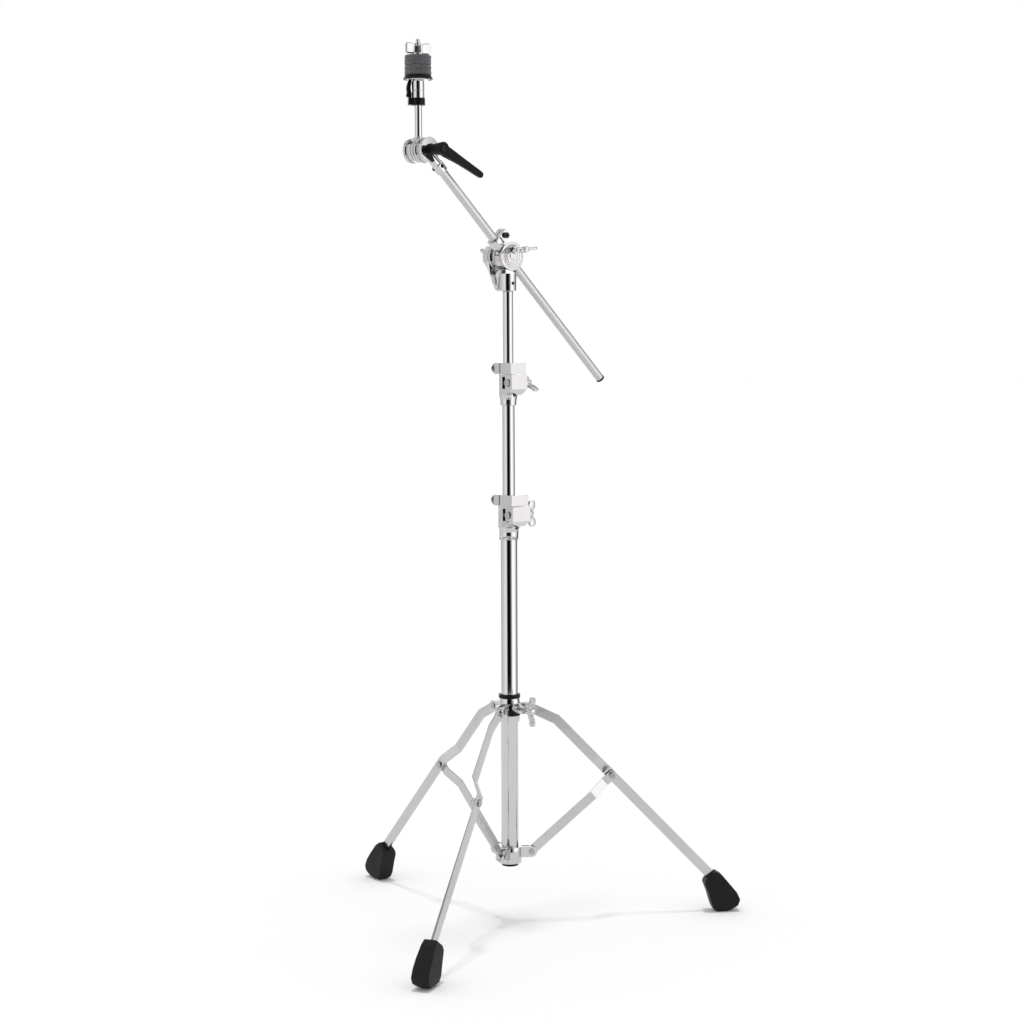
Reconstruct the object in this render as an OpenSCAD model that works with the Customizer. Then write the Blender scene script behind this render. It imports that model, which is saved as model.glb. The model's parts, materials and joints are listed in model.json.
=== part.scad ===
// Cymbal boom stand: double-braced folding tripod, three telescopic tubes, tilting boom and cymbal seat.
// Millimetres. +Z is up, the origin is on the main tube's axis at floor level.

/* [Main tubes] */
// Outer diameter of the lowest tube
base_d = 25.4; // [25:0.1:26]
// Outer diameter of the middle tube
mid_d = 19.05; // [18.6:0.05:19.2]
// Outer diameter of the upper tube
upper_d = 15.9; // [15.4:0.1:16]
// Height of the top edge of the lower height clamp
lower_clamp_z = 619; // [580:0.5:640]
// Height of the top edge of the upper height clamp
upper_clamp_z = 810; // [780:1:830]
// Height of the boom tilter's axis
tilter_z = 979.5; // [950:0.5:1000]
// Running gap on the radius of every sliding or turning fit
gap = 0.07; // [0.03:0.01:0.1]

/* [Tripod] */
// Direction of the first leg, counter-clockwise from +X
leg_turn = 7.5; // [0:0.5:30]
// Distance of the upper and lower leg pivots from the tube axis
pivot_r = 31.5; // [31:0.1:33]
// Height of the leg pivots on the sliding collar
collar_z = 320.3; // [310:0.1:325]
// Height of the brace pivots on the bottom bracket
bracket_z = 105.9; // [100:0.1:110]
// Distance of the knee pivots from the tube axis
knee_r = 154.7; // [150:0.1:160]
// Slope of the lower leg below horizontal
leg_slope = 46.2; // [45:0.1:47]
// Width of the leg strip
leg_w = 14.5; // [13:0.5:16]
// Thickness of the leg strip
leg_t = 4; // [3:0.5:4]
// Width of the brace strip
brace_w = 14; // [12:0.5:15]
// Thickness of the brace strip
brace_t = 3.5; // [3:0.5:3.5]
// Sideways step of the lower leg
leg_step = 15.6; // [14:0.1:17]

/* [Boom] */
// Outer diameter of the boom
boom_d = 12.7; // [12:0.1:12.8]
// Direction in which the boom's upper end points
boom_az = 220.8; // [215:0.1:225]
// Rise of the boom above horizontal
boom_el = 44.15; // [42:0.05:45]
// Length of the boom on the cymbal side of the tilter
boom_up = 190; // [185:1:195]
// Length of the boom on the weight side of the tilter
boom_down = 253; // [200:1:300]
// Direction of the cymbal tilter's axis
head_az = 319; // [310:1:325]

/* [Cymbal seat] */
// Diameter of the cymbal felts
felt_d = 38; // [32:1:42]
// Diameter of the seat cup
cup_d = 41.5; // [38:0.5:46]
// Diameter of the threaded cymbal rod
rod_d = 8; // [6:0.5:8]
// Height of the rod's tip
rod_top = 1276; // [1272:1:1290]

/* [Hidden] */
$fn = 48;
eps = 0.01;
knee_z = (collar_z + bracket_z) / 2;
// distance between a knee and either of its two pivots at the tube
link = norm([knee_r - pivot_r, collar_z - knee_z]);
link_el = atan2(knee_z - bracket_z, knee_r - pivot_r);
bend_s = 123;
leg_end = 243;
bend_r = knee_r - bend_s * cos(leg_slope);
bend_z = knee_z + bend_s * sin(leg_slope);
brace_step = leg_step - leg_t / 2 - 0.3 - brace_t / 2;
eye_lip = 0.06;
boom_h = [cos(boom_az), sin(boom_az), 0];
boom_dir = [cos(boom_el) * cos(boom_az), cos(boom_el) * sin(boom_az), sin(boom_el)];
boom_0 = [0, 0, tilter_z - 1.3];
tilt_az = boom_az + 90;
head_s = 207.7;
head_p = boom_0 + head_s * boom_dir;
head_dir = [cos(head_az), sin(head_az), 0];
rod_p = head_p - 14 * head_dir;
seat_z = 1226;
felt_h = 13.8;
cup_h = 5;
rod_base = 1185;
clamp_az = -50;
screw_up = 8.8;
screw_side = 4;

// ---- shared shapes ----

// puts local +Z along azimuth az and elevation el from point p
module along(p, az, el) {
    translate(p) rotate([0, 90 - el, az]) children();
}

// turns a shape made in the first radial plane to leg i
module at_leg(i) {
    rotate([0, 0, leg_turn + 120 * (i - 1)]) children();
}

// extrudes a radial-plane outline (r, z) between two sideways offsets
module radial(t0, t1) {
    translate([0, t1, 0]) rotate([90, 0, 0]) linear_extrude(t1 - t0) children();
}

module tube(d, wall, z0, z1) {
    difference() {
        translate([0, 0, z0]) cylinder(d = d, h = z1 - z0);
        translate([0, 0, z0 - 1]) cylinder(d = d - 2 * wall, h = z1 - z0 + 2);
    }
}

// bar between two pivots in the radial plane, with round eyes a little wider than its straight sides
module bar(p, q, w) {
    a = atan2(q[1] - p[1], q[0] - p[0]);
    translate(p) circle(d = w);
    translate(q) circle(d = w);
    translate(p) rotate(a) translate([0, eye_lip - w / 2]) square([norm(q - p), w - 2 * eye_lip]);
}

// two-lobed wing on a hub that starts at z = 0, lobes along local X
module wing(hub_d, hub_l, span, lean, bore) {
    difference() {
        union() {
            cylinder(d = hub_d, h = hub_l);
            translate([0, 2.6, 0]) rotate([90, 0, 0]) linear_extrude(5.2) {
                for (m = [0, 1]) mirror([m, 0]) {
                    polygon([[0, 1.5], [hub_d / 2 + 2, 1.5], [span / 2 - 6, hub_l - 10.5 + lean],
                        [span / 2 - 6, hub_l + 1.5 + lean], [hub_d / 2, hub_l - 1], [0, hub_l - 1]]);
                    translate([span / 2 - 6, hub_l - 4.5 + lean]) circle(r = 6);
                }
            }
        }
        translate([0, 0, -1]) cylinder(r = bore, h = hub_l - 1.5);
    }
}

// ---- telescopic tubes and their clamps ----

module base_tube() {
    color("gainsboro") tube(base_d, 1.6, 91, lower_clamp_z - 23.5);
}

module base_plug() {
    color("black") {
        translate([0, 0, 86]) cylinder(d = base_d - 0.6, h = 5);
        translate([0, 0, 91]) cylinder(d = base_d - 3.2, h = 12);
    }
}

module mid_tube() {
    color("gainsboro") tube(mid_d, 1.2, 330, upper_clamp_z - 22);
}

module upper_tube() {
    color("gainsboro") tube(upper_d, 1.2, 570, tilter_z - 32);
}

// casting that joins a tube's top to the next tube, with a pinch bolt beside the inner tube
module height_clamp(z1, h, d_low, r_up, barrel_r, neck_r, w, ext, bolt_s) {
    zb = z1 - 12.5;
    difference() {
        union() {
            translate([0, 0, z1 - h]) cylinder(r = neck_r, h = h - 30);
            translate([0, 0, z1 - 30]) cylinder(r = barrel_r, h = 30);
            translate([0, 0, z1 - 38]) cylinder(r1 = neck_r, r2 = barrel_r, h = 8);
            rotate([0, 0, clamp_az]) radial(-w, w) polygon([[0, z1], [ext, z1], [ext, z1 - 21.5],
                [ext - 13, z1 - 30], [0, z1 - 30]]);
        }
        translate([0, 0, z1 - 60]) cylinder(d = d_low, h = 60 - 23.5);
        translate([0, 0, z1 - 30]) cylinder(r = r_up, h = 40);
        rotate([0, 0, clamp_az]) {
            translate([bolt_s - 9, -w - 1, z1 - 21]) cube([ext - bolt_s + 5, 3.6, 17.5]);
            translate([bolt_s, 0, zb]) rotate([90, 0, 0]) cylinder(r = 3, h = 80, center = true);
        }
    }
}

module clamp_bolt(z1, w, bolt_s) {
    rotate([0, 0, clamp_az]) translate([bolt_s, -w + 2.6, z1 - 12.5]) rotate([-90, 0, 0]) {
        translate([0, 0, -2.4]) cylinder(d = 11, h = 2.4);
        cylinder(r = 3, h = 2 * w - 2.6 + 10);
    }
}

module clamp_wing(z1, w, bolt_s, turn) {
    rotate([0, 0, clamp_az]) translate([bolt_s, w + 0.3, z1 - 12.5]) rotate([-90, 0, 0])
        rotate([0, 0, turn]) wing(12, 15, 38, 4, 3 + gap);
}

module lower_clamp() {
    color("silver") height_clamp(lower_clamp_z, 49.5, base_d, 11, 16.4, 14.6, 16.4, 29.5, 15);
}

module lower_clamp_bolt() {
    color("gray") clamp_bolt(lower_clamp_z, 16.4, 15);
}

module lower_clamp_wing() {
    color("silver") clamp_wing(lower_clamp_z, 16.4, 15, 80);
}

module lower_bushing() {
    color("black") difference() {
        translate([0, 0, lower_clamp_z - 23.5]) cylinder(r = 11, h = 23.2);
        translate([0, 0, lower_clamp_z - 30]) cylinder(r = mid_d / 2 + gap, h = 40);
    }
}

module upper_clamp() {
    color("silver") height_clamp(upper_clamp_z, 44.6, mid_d, 9.6, 14.2, 12.4, 14.6, 25.7, 13.2);
}

module upper_clamp_bolt() {
    color("gray") clamp_bolt(upper_clamp_z, 14.6, 13.2);
}

module upper_clamp_wing() {
    color("silver") clamp_wing(upper_clamp_z, 14.6, 13.2, 45);
}

module upper_bushing() {
    color("black") difference() {
        translate([0, 0, upper_clamp_z - 21.9]) cylinder(r = 9.6, h = 21.6);
        translate([0, 0, upper_clamp_z - 30]) cylinder(r = upper_d / 2 + gap, h = 40);
    }
}

// split ring with a square block and a key screw, clamped on a tube above a height clamp
module tube_lock(z0, h, d, wa, wb, ext, screw_l) {
    difference() {
        rotate([0, 0, clamp_az]) union() {
            translate([0, 0, z0]) cylinder(r = min(wa, 15), h = h);
            translate([0, -wb, z0]) cube([ext, wa + wb, h]);
            translate([-13, -wb, z0]) cube([13 + eps, wb - 4, h]);
        }
        translate([0, 0, z0 - 1]) cylinder(d = d, h = h + 2);
        rotate([0, 0, clamp_az]) {
            translate([-0.8, -wb - 1, z0 - 1]) cube([1.6, wb, h + 2]);
            translate([-30, -screw_l, z0 + h / 2]) rotate([0, 90, 0])
                cylinder(r = 2.5, h = 30 + ext - 4);
        }
    }
}

module lock_screw(z0, h, ext, screw_l) {
    rotate([0, 0, clamp_az]) translate([-13, -screw_l, z0 + h / 2]) rotate([0, 90, 0]) {
        cylinder(r = 2.5, h = 13 + ext - 4);
        translate([0, 0, -2.5]) cylinder(d = 10, h = 2.5);
        translate([-2.7, -2.7, -8.5]) cube([5.4, 5.4, 6]);
    }
}

module lower_lock() {
    color("silver") tube_lock(lower_clamp_z + 0.4, 16.2, mid_d, 14.5, 17.8, 27.5, 13.2);
}

module lower_lock_screw() {
    color("gray") lock_screw(lower_clamp_z + 0.4, 16.2, 27.5, 13.2);
}

module upper_lock() {
    color("silver") tube_lock(upper_clamp_z + 0.4, 16, upper_d, 13, 15.6, 24.5, 11.4);
}

module upper_lock_screw() {
    color("gray") lock_screw(upper_clamp_z + 0.4, 16, 24.5, 11.4);
}

// ---- boom tilter ----

// casting on the upper tube: socket, slanted web and the fixed disc of the tilter
module tilter_socket() {
    color("silver") difference() {
        union() {
            translate([0, 0, tilter_z - 49.6]) cylinder(r = 12.4, h = 24.6);
            along([0, 0, tilter_z], tilt_az, 0) translate([0, 0, -33.5]) cylinder(r = 19, h = 11);
            rotate([0, 0, tilt_az]) radial(-9, 9) polygon([[-33.5, tilter_z], [-22.5, tilter_z],
                [-22.5, tilter_z - 25], [0, tilter_z - 25], [0, tilter_z - 49.6],
                [-14, tilter_z - 49.6]]);
            rotate([0, 0, tilt_az]) intersection() {
                radial(-19, 19) polygon([[-33.5, tilter_z], [-22.5, tilter_z], [-22.5, tilter_z - 26],
                    [-12.8, tilter_z - 30], [-12.8, tilter_z - 49], [-14.2, tilter_z - 49]]);
                translate([-40, 0, tilter_z]) rotate([90, 0, 90]) linear_extrude(40) hull() {
                    circle(r = 18.4);
                    translate([-11.5, -48.4]) square([23, 20]);
                }
            }
        }
        translate([0, 0, tilter_z - 52]) cylinder(d = upper_d, h = 20);
        along([0, 0, tilter_z], tilt_az, 0) cylinder(r = 3 + gap, h = 90, center = true);
    }
}

module tilter_bolt() {
    color("gray") along([0, 0, tilter_z], tilt_az, 0) {
        translate([0, 0, -43]) cylinder(r = 3, h = 30);
    }
}

module tilter_wing() {
    color("silver") along([0, 0, tilter_z], tilt_az, 0) translate([0, 0, -33.9])
        mirror([0, 0, 1]) rotate([0, 0, 41]) wing(11, 12, 34, 2, 3 + gap);
}

// turning half that carries the boom
module tilter_drum() {
    color("silver") difference() {
        along([0, 0, tilter_z], tilt_az, 0) {
            translate([0, 0, -22.2]) cylinder(r = 19, h = 4.2);
            translate([0, 0, -18]) cylinder(r = 16.5, h = 8);
            translate([0, 0, -10]) cylinder(r = 19.5, h = 18);
        }
        along(boom_0, boom_az, boom_el) cylinder(r = boom_d / 2 + gap, h = 90, center = true);
        along([0, 0, tilter_z], tilt_az, 0) {
            translate([0, 0, -40]) cylinder(r = 3, h = 28);
            translate([-screw_up, screw_side, -6]) cylinder(r = 3, h = 40);
        }
    }
}

// front cap that the boom screw draws onto the boom
module clamp_disc() {
    color("silver") along([0, 0, tilter_z], tilt_az, 0) difference() {
        union() {
            translate([0, 0, 8]) cylinder(r = 21, h = 3);
            translate([0, 0, 11]) cylinder(r = 18.5, h = 1);
        }
        translate([0, 0, 11.4]) difference() {
            cylinder(r = 13.2, h = 2);
            translate([0, 0, -1]) cylinder(r = 10.4, h = 4);
        }
        translate([-screw_up, screw_side, 0]) cylinder(r = 3 + gap, h = 40);
    }
}

module boom_screw() {
    color("silver") along([0, 0, tilter_z], tilt_az, 0) translate([-screw_up, screw_side, 12.4])
        rotate([0, 0, 90]) {
            translate([0, 0, -16]) cylinder(r = 2.93, h = 32);
            translate([0, 0, 11.5]) wing(9, 15, 42, -1, 1.6);
            cylinder(r = 5.5, h = 2.5);
        }
}

// ---- boom ----

module boom_tube() {
    color("gainsboro") along(boom_0, boom_az, boom_el) tube(boom_d, 1.4, -boom_down, boom_up);
}

module boom_cap() {
    color("black") along(boom_0, boom_az, boom_el) {
        translate([0, 0, -boom_down - 3]) cylinder(d = boom_d + 0.8, h = 3);
        translate([0, 0, -boom_down]) cylinder(d = boom_d - 2.8, h = 10);
    }
}

// split ring with two ears, clamped on the boom just above the tilter
module boom_lock() {
    color("silver") along(boom_0, boom_az, boom_el) translate([0, 0, 23.5]) rotate([0, 0, 176])
        difference() {
            union() {
                cylinder(r = 10.6, h = 13);
                translate([0, -8.5, 0]) cube([21, 17, 13]);
            }
            translate([0, 0, -1]) cylinder(d = boom_d, h = 15);
            translate([0, -0.8, -1]) cube([30, 1.6, 15]);
            translate([14.5, 0, 6.5]) rotate([90, 0, 0]) cylinder(r = 2.2, h = 40, center = true);
        }
}

module boom_lock_screw() {
    color("dimgray") along(boom_0, boom_az, boom_el) translate([0, 0, 23.5]) rotate([0, 0, 176])
        translate([14.5, 0, 6.5]) rotate([90, 0, 0]) difference() {
            union() {
                translate([0, 0, -8.5]) cylinder(r = 2.2, h = 17);
                translate([0, 0, -11]) cylinder(r = 4.2, h = 2.5);
                translate([0, 0, 8.5]) cylinder(r = 4.2, h = 3.6);
            }
            translate([-1.6, -1.6, 9.4]) cube([3.2, 3.2, 4]);
        }
}

// ---- cymbal tilter ----

// fixed half of the cymbal tilter with the ferrule that grips the boom
module head_ferrule() {
    color("silver") difference() {
        union() {
            along(head_p, head_az, 0) {
                translate([0, 0, -7.5]) cylinder(r = 18, h = 4);
                translate([0, 0, -3.5]) cylinder(r = 16.6, h = 7.5);
                translate([0, 0, 4]) cylinder(r = 18, h = 4.5);
            }
            along(boom_0, boom_az, boom_el) translate([0, 0, 167]) cylinder(r = 8, h = 30);
        }
        along(boom_0, boom_az, boom_el) translate([0, 0, 160]) cylinder(d = boom_d, h = 32);
        along(head_p, head_az, 0) cylinder(r = 3, h = 60, center = true);
    }
}

module head_bolt() {
    color("gray") along(head_p, head_az, 0) {
        translate([0, 0, -32]) cylinder(r = 3, h = 56);
        translate([0, 0, -35]) cylinder(r = 5.5, h = 3);
    }
}

// turning half that carries the cymbal rod
module head_half() {
    color("silver") difference() {
        along(head_p, head_az, 0) {
            translate([0, 0, -12]) cylinder(r = 18, h = 4);
            translate([0, 0, -24]) cylinder(r = 16, h = 12);
            translate([0, 0, -28]) cylinder(r = 17.5, h = 4);
            translate([0, 0, -31.5]) cylinder(r1 = 12, r2 = 17.5, h = 3.5);
        }
        along(head_p, head_az, 0) cylinder(r = 3 + gap, h = 80, center = true);
        translate([rod_p[0], rod_p[1], head_p[2] + 8]) cylinder(r = 5.4, h = 30);
    }
}

// adjustable clamping lever: hub on the tilter's axis, elbow and tapered arm
module head_lever() {
    arm = [51.5, 46.4, -31.5];
    e = head_p + 30 * head_dir;
    color("black") difference() {
        union() {
            along(head_p, head_az, 0) translate([0, 0, 8.8]) {
                cylinder(r = 8.6, h = 2);
                cylinder(r1 = 7.2, r2 = 8, h = 18);
            }
            hull() {
                along(head_p, head_az, 0) translate([0, 0, 22]) cylinder(r = 8.4, h = 14.5, $fn = 32);
                translate(e + 0.16 * arm) sphere(r = 7.2, $fn = 32);
            }
            hull() {
                translate(e + 0.16 * arm) sphere(r = 7, $fn = 32);
                translate(e + 0.98 * arm) sphere(r = 4.4, $fn = 32);
            }
        }
        along(head_p, head_az, 0) cylinder(r = 3 + gap, h = 24.6);
    }
}

// ---- cymbal seat ----

module cymbal_rod() {
    color("gainsboro") translate([rod_p[0], rod_p[1], 0]) {
        translate([0, 0, head_p[2] + 8]) cylinder(r = 5.4, h = rod_base - head_p[2] - 8);
        translate([0, 0, rod_base]) cylinder(d = rod_d, h = rod_top - 4 - rod_base);
        translate([0, 0, rod_top - 4]) cylinder(r = rod_d / 2 - 1, h = 4);
    }
}

module sleeve_base() {
    color("black") translate([rod_p[0], rod_p[1], rod_base]) difference() {
        union() {
            cylinder(r = 9.6, h = 10);
            rotate([0, 0, 190]) translate([0, -5.5, 0.4]) cube([14, 11, 9.2]);
        }
        translate([0, 0, -1]) cylinder(d = rod_d, h = 20);
    }
}

// curved finger tab beside the sleeve
module release_tab() {
    color("black") translate([rod_p[0], rod_p[1], rod_base + 10]) rotate([0, 0, 190]) radial(-5, 5) {
        difference() {
            translate([-7.4, 12.5]) circle(r = 23.7);
            translate([-11.5, 13.5]) circle(r = 22.3);
            translate([-50, -40]) square([59.8, 100]);
            translate([-1, -40]) square([60, 40]);
            translate([-1, 24]) square([60, 40]);
        }
        translate([13.4, 4]) circle(r = 3.4);
    }
}

module cymbal_sleeve() {
    color("silver") translate([rod_p[0], rod_p[1], rod_base + 10]) difference() {
        union() {
            cylinder(r = 9, h = seat_z - cup_h - rod_base - 10);
            cylinder(r = 5.6, h = seat_z + 2 * felt_h - rod_base - 10);
        }
        translate([0, 0, -1]) cylinder(d = rod_d, h = 80);
    }
}

module seat_cup() {
    color("black") translate([rod_p[0], rod_p[1], seat_z]) rotate_extrude()
        polygon([[5.6, -cup_h], [9.5, -cup_h], [cup_d / 2 - 0.8, -cup_h - 0.7],
            [cup_d / 2, -cup_h], [felt_d / 2 - 0.5, 0], [5.6, 0]]);
}

module felt(z, h) {
    translate([rod_p[0], rod_p[1], z]) difference() {
        union() {
            translate([0, 0, 1]) cylinder(d = felt_d, h = h - 2);
            cylinder(d = felt_d - 2, h = h);
        }
        translate([0, 0, -1]) cylinder(r = 5.6, h = h + 2);
    }
}

module felt_lower() {
    color("dimgray") felt(seat_z, felt_h);
}

module felt_upper() {
    color("dimgray") felt(seat_z + felt_h, felt_h);
}

module wing_nut() {
    color("silver") translate([rod_p[0], rod_p[1], seat_z + 2 * felt_h + 0.4]) difference() {
        union() {
            cylinder(r = 8.4, h = 3);
            cylinder(r1 = 7.6, r2 = 6.4, h = 13);
            rotate([0, 0, 5]) translate([0, 2.2, 0]) rotate([90, 0, 0]) linear_extrude(4.4) {
                for (m = [0, 1]) mirror([m, 0]) {
                    polygon([[0, 1.6], [12, 1.6], [17.6, 4.6], [17.6, 13], [9, 16], [6, 12], [0, 12]]);
                    translate([13.6, 11.6]) circle(r = 5.2);
                }
            }
        }
        translate([0, 0, -1]) cylinder(r = rod_d / 2 + gap, h = 30);
    }
}

// ---- tripod ----

// pair of ears that hold a strip at a pivot
module ears(z, half_gap, bore) {
    for (m = [0, 1]) mirror([0, m, 0]) radial(half_gap, half_gap + 4.5) difference() {
        union() {
            translate([pivot_r, z]) circle(r = 8);
            translate([10, z - 8]) square([pivot_r - 10, 16]);
        }
        translate([pivot_r, z]) circle(r = bore);
    }
}

module pivot_pin(z, out) {
    translate([pivot_r, 0, z]) rotate([90, 0, 0]) {
        cylinder(r = 2.5, h = 2 * out, center = true);
        for (m = [0, 1]) mirror([0, 0, m]) translate([0, 0, out]) cylinder(r = 4.4, h = 1.6);
    }
}

module leg_bracket() {
    color("silver") difference() {
        union() {
            translate([0, 0, bracket_z - 15.5]) cylinder(r = 17, h = 24);
            for (i = [1:3]) at_leg(i) ears(bracket_z, brace_t / 2 + 0.3, 2.5);
        }
        translate([0, 0, bracket_z - 20]) cylinder(d = base_d, h = 40);
    }
}

module collar() {
    color("silver") difference() {
        union() {
            translate([0, 0, collar_z - 19]) cylinder(r = 14.9, h = 4);
            translate([0, 0, collar_z - 15]) cylinder(r = 15.6, h = 26);
            translate([0, 0, collar_z + 11]) cylinder(r1 = 15.6, r2 = 14.6, h = 5);
            for (i = [1:3]) at_leg(i) ears(collar_z, leg_t / 2 + 0.3, 2.5);
            rotate([0, 0, leg_turn - 60]) translate([12, 0, collar_z + 2]) rotate([0, 90, 0])
                cylinder(r = 6.5, h = 13);
        }
        translate([0, 0, collar_z - 30]) cylinder(r = 13.7, h = 60);
        rotate([0, 0, leg_turn - 60]) translate([0, 0, collar_z + 2]) rotate([0, 90, 0])
            cylinder(r = 3 + gap, h = 60);
    }
}

module collar_liner() {
    color("black") difference() {
        union() {
            translate([0, 0, collar_z - 19]) cylinder(r = 13.7, h = 35);
            translate([0, 0, collar_z + 16]) cylinder(r = 15.8, h = 5.5);
        }
        translate([0, 0, collar_z - 30]) cylinder(r = base_d / 2 + gap, h = 70);
        rotate([0, 0, leg_turn - 60]) translate([0, 0, collar_z + 2]) rotate([0, 90, 0])
            cylinder(r = 3 + gap, h = 60);
    }
}

module collar_screw() {
    color("silver") rotate([0, 0, leg_turn - 60]) translate([0, 0, collar_z + 2])
        rotate([0, 90, 0]) {
            translate([0, 0, base_d / 2 + 0.1]) cylinder(r = 3, h = 34);
            translate([0, 0, 25.4]) cylinder(r = 6, h = 2.5);
            translate([0, 0, 43]) rotate([0, 0, -8]) wing(10, 14, 43, 2, 1.6);
        }
}

// strip that steps sideways: straight at offset 0, slanted over [s0, s1], straight at step
module stepped(s_start, s0, s1, s_end, step, t) {
    k = (s1 - s0) / norm([s1 - s0, step]);
    c = t / 2 * (1 - k) * (s1 - s0) / step;
    polygon([[s_start, -t / 2], [s0 + c, -t / 2], [s1 + c, step - t / 2], [s_end, step - t / 2],
        [s_end, step + t / 2], [s1 - c, step + t / 2], [s0 - c, t / 2], [s_start, t / 2]]);
}

module leg(i) {
    at_leg(i) difference() {
        intersection() {
            radial(-20, 30) {
                bar([pivot_r, collar_z], [bend_r, bend_z], leg_w);
                translate([bend_r, bend_z]) rotate(-leg_slope)
                    translate([0, eye_lip - leg_w / 2]) square([bend_s + leg_end, leg_w - 2 * eye_lip]);
            }
            translate([knee_r, 0, knee_z]) rotate([0, leg_slope, 0])
                translate([0, 0, -90]) linear_extrude(180)
                    stepped(-230, -38, -12, leg_end + 20, leg_step, leg_t);
        }
        translate([pivot_r, 0, collar_z]) rotate([90, 0, 0])
            cylinder(r = 2.5 + gap, h = 40, center = true);
        translate([knee_r, 0, knee_z]) rotate([90, 0, 0])
            cylinder(r = 2.5, h = 60, center = true);
    }
}

module brace(i) {
    at_leg(i) difference() {
        intersection() {
            radial(-20, 30) bar([pivot_r, bracket_z], [knee_r, knee_z], brace_w);
            translate([pivot_r, 0, bracket_z]) rotate([0, -link_el, 0])
                translate([0, 0, -30]) linear_extrude(60)
                    stepped(-30, link - 40, link - 15, link + 30, brace_step, brace_t);
        }
        translate([pivot_r, 0, bracket_z]) rotate([90, 0, 0])
            cylinder(r = 2.5 + gap, h = 40, center = true);
        translate([knee_r, 0, knee_z]) rotate([90, 0, 0])
            cylinder(r = 2.5 + gap, h = 60, center = true);
    }
}

module knee_pin(i) {
    t0 = brace_step - brace_t / 2 - 0.3;
    t1 = leg_step + leg_t / 2;
    at_leg(i) translate([knee_r, 0, knee_z]) rotate([-90, 0, 0]) {
        translate([0, 0, t0 - 3]) cylinder(r = 2.5, h = t1 - t0 + 3);
        translate([0, 0, t1]) cylinder(r = 5.2, h = 2.6);
        translate([0, 0, t0 - 3.6]) cylinder(r = 4.6, h = 3.6);
    }
}

module foot(i) {
    color("#1c1c1c") at_leg(i) difference() {
        intersection() {
            radial(leg_step - 15, leg_step + 13) polygon([[295.4, 44], [297, 50],
                [301.2, 53], [313.2, 61.8], [322.3, 56], [344.8, 29], [349.8, 18],
                [346.5, 9.2], [337, 3], [331, 0], [316, 0], [310, 3], [307, 9.5], [301.5, 28]]);
            translate([285, leg_step - 1, 0]) rotate([90, 0, 90]) linear_extrude(80)
                polygon([[-7, 0], [7, 0], [11.5, 4], [13, 12], [12.5, 40], [9.5, 64],
                    [-9.5, 64], [-12.5, 40], [-13, 12], [-11.5, 4]]);
        }
        translate([knee_r, 0, knee_z]) rotate([0, leg_slope, 0])
            translate([190, leg_step - leg_t / 2, -leg_w / 2])
                cube([leg_end - 190, leg_t, leg_w]);
    }
}

module leg_1() { color("silver") leg(1); }
module leg_2() { color("silver") leg(2); }
module leg_3() { color("silver") leg(3); }
module brace_1() { color("silver") brace(1); }
module brace_2() { color("silver") brace(2); }
module brace_3() { color("silver") brace(3); }
module foot_1() { foot(1); }
module foot_2() { foot(2); }
module foot_3() { foot(3); }
module hip_pin_1() { color("gray") at_leg(1) pivot_pin(collar_z, leg_t / 2 + 4.8); }
module hip_pin_2() { color("gray") at_leg(2) pivot_pin(collar_z, leg_t / 2 + 4.8); }
module hip_pin_3() { color("gray") at_leg(3) pivot_pin(collar_z, leg_t / 2 + 4.8); }
module knee_pin_1() { color("gray") knee_pin(1); }
module knee_pin_2() { color("gray") knee_pin(2); }
module knee_pin_3() { color("gray") knee_pin(3); }
module bracket_pin_1() { color("gray") at_leg(1) pivot_pin(bracket_z, brace_t / 2 + 4.8); }
module bracket_pin_2() { color("gray") at_leg(2) pivot_pin(bracket_z, brace_t / 2 + 4.8); }
module bracket_pin_3() { color("gray") at_leg(3) pivot_pin(bracket_z, brace_t / 2 + 4.8); }

base_tube();
base_plug();
leg_bracket();
lower_clamp();
lower_clamp_bolt();
lower_bushing();
lower_clamp_wing();
mid_tube();
lower_lock();
lower_lock_screw();
upper_clamp();
upper_clamp_bolt();
upper_bushing();
upper_clamp_wing();
upper_tube();
upper_lock();
upper_lock_screw();
tilter_socket();
tilter_bolt();
tilter_wing();
tilter_drum();
clamp_disc();
boom_screw();
boom_tube();
boom_cap();
boom_lock();
boom_lock_screw();
head_ferrule();
head_bolt();
head_lever();
head_half();
cymbal_rod();
sleeve_base();
release_tab();
cymbal_sleeve();
seat_cup();
felt_lower();
felt_upper();
wing_nut();
collar();
collar_liner();
collar_screw();
leg_1();
leg_2();
leg_3();
foot_1();
foot_2();
foot_3();
brace_1();
brace_2();
brace_3();
hip_pin_1();
hip_pin_2();
hip_pin_3();
knee_pin_1();
knee_pin_2();
knee_pin_3();
bracket_pin_1();
bracket_pin_2();
bracket_pin_3();
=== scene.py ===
"""Cymbal boom stand: the looks of a chrome tripod stand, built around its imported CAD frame."""

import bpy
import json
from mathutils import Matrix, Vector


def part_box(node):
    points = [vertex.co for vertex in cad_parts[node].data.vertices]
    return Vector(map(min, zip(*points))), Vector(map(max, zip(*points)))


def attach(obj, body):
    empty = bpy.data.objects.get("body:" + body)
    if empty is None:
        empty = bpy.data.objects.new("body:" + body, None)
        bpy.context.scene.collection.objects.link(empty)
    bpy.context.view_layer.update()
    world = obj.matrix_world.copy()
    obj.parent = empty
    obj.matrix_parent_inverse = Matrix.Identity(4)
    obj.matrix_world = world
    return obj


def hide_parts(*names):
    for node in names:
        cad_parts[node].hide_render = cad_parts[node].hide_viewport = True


bl_info = {
    "name": "Cymbal Boom Stand",
    "version": (1, 0, 0),
    "blender": (4, 5, 0),
    "location": "View3D > Sidebar > Stand",
    "description": "Chrome, felt, rubber and nylon pieces for a cymbal boom stand",
    "category": "Object",
}

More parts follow.
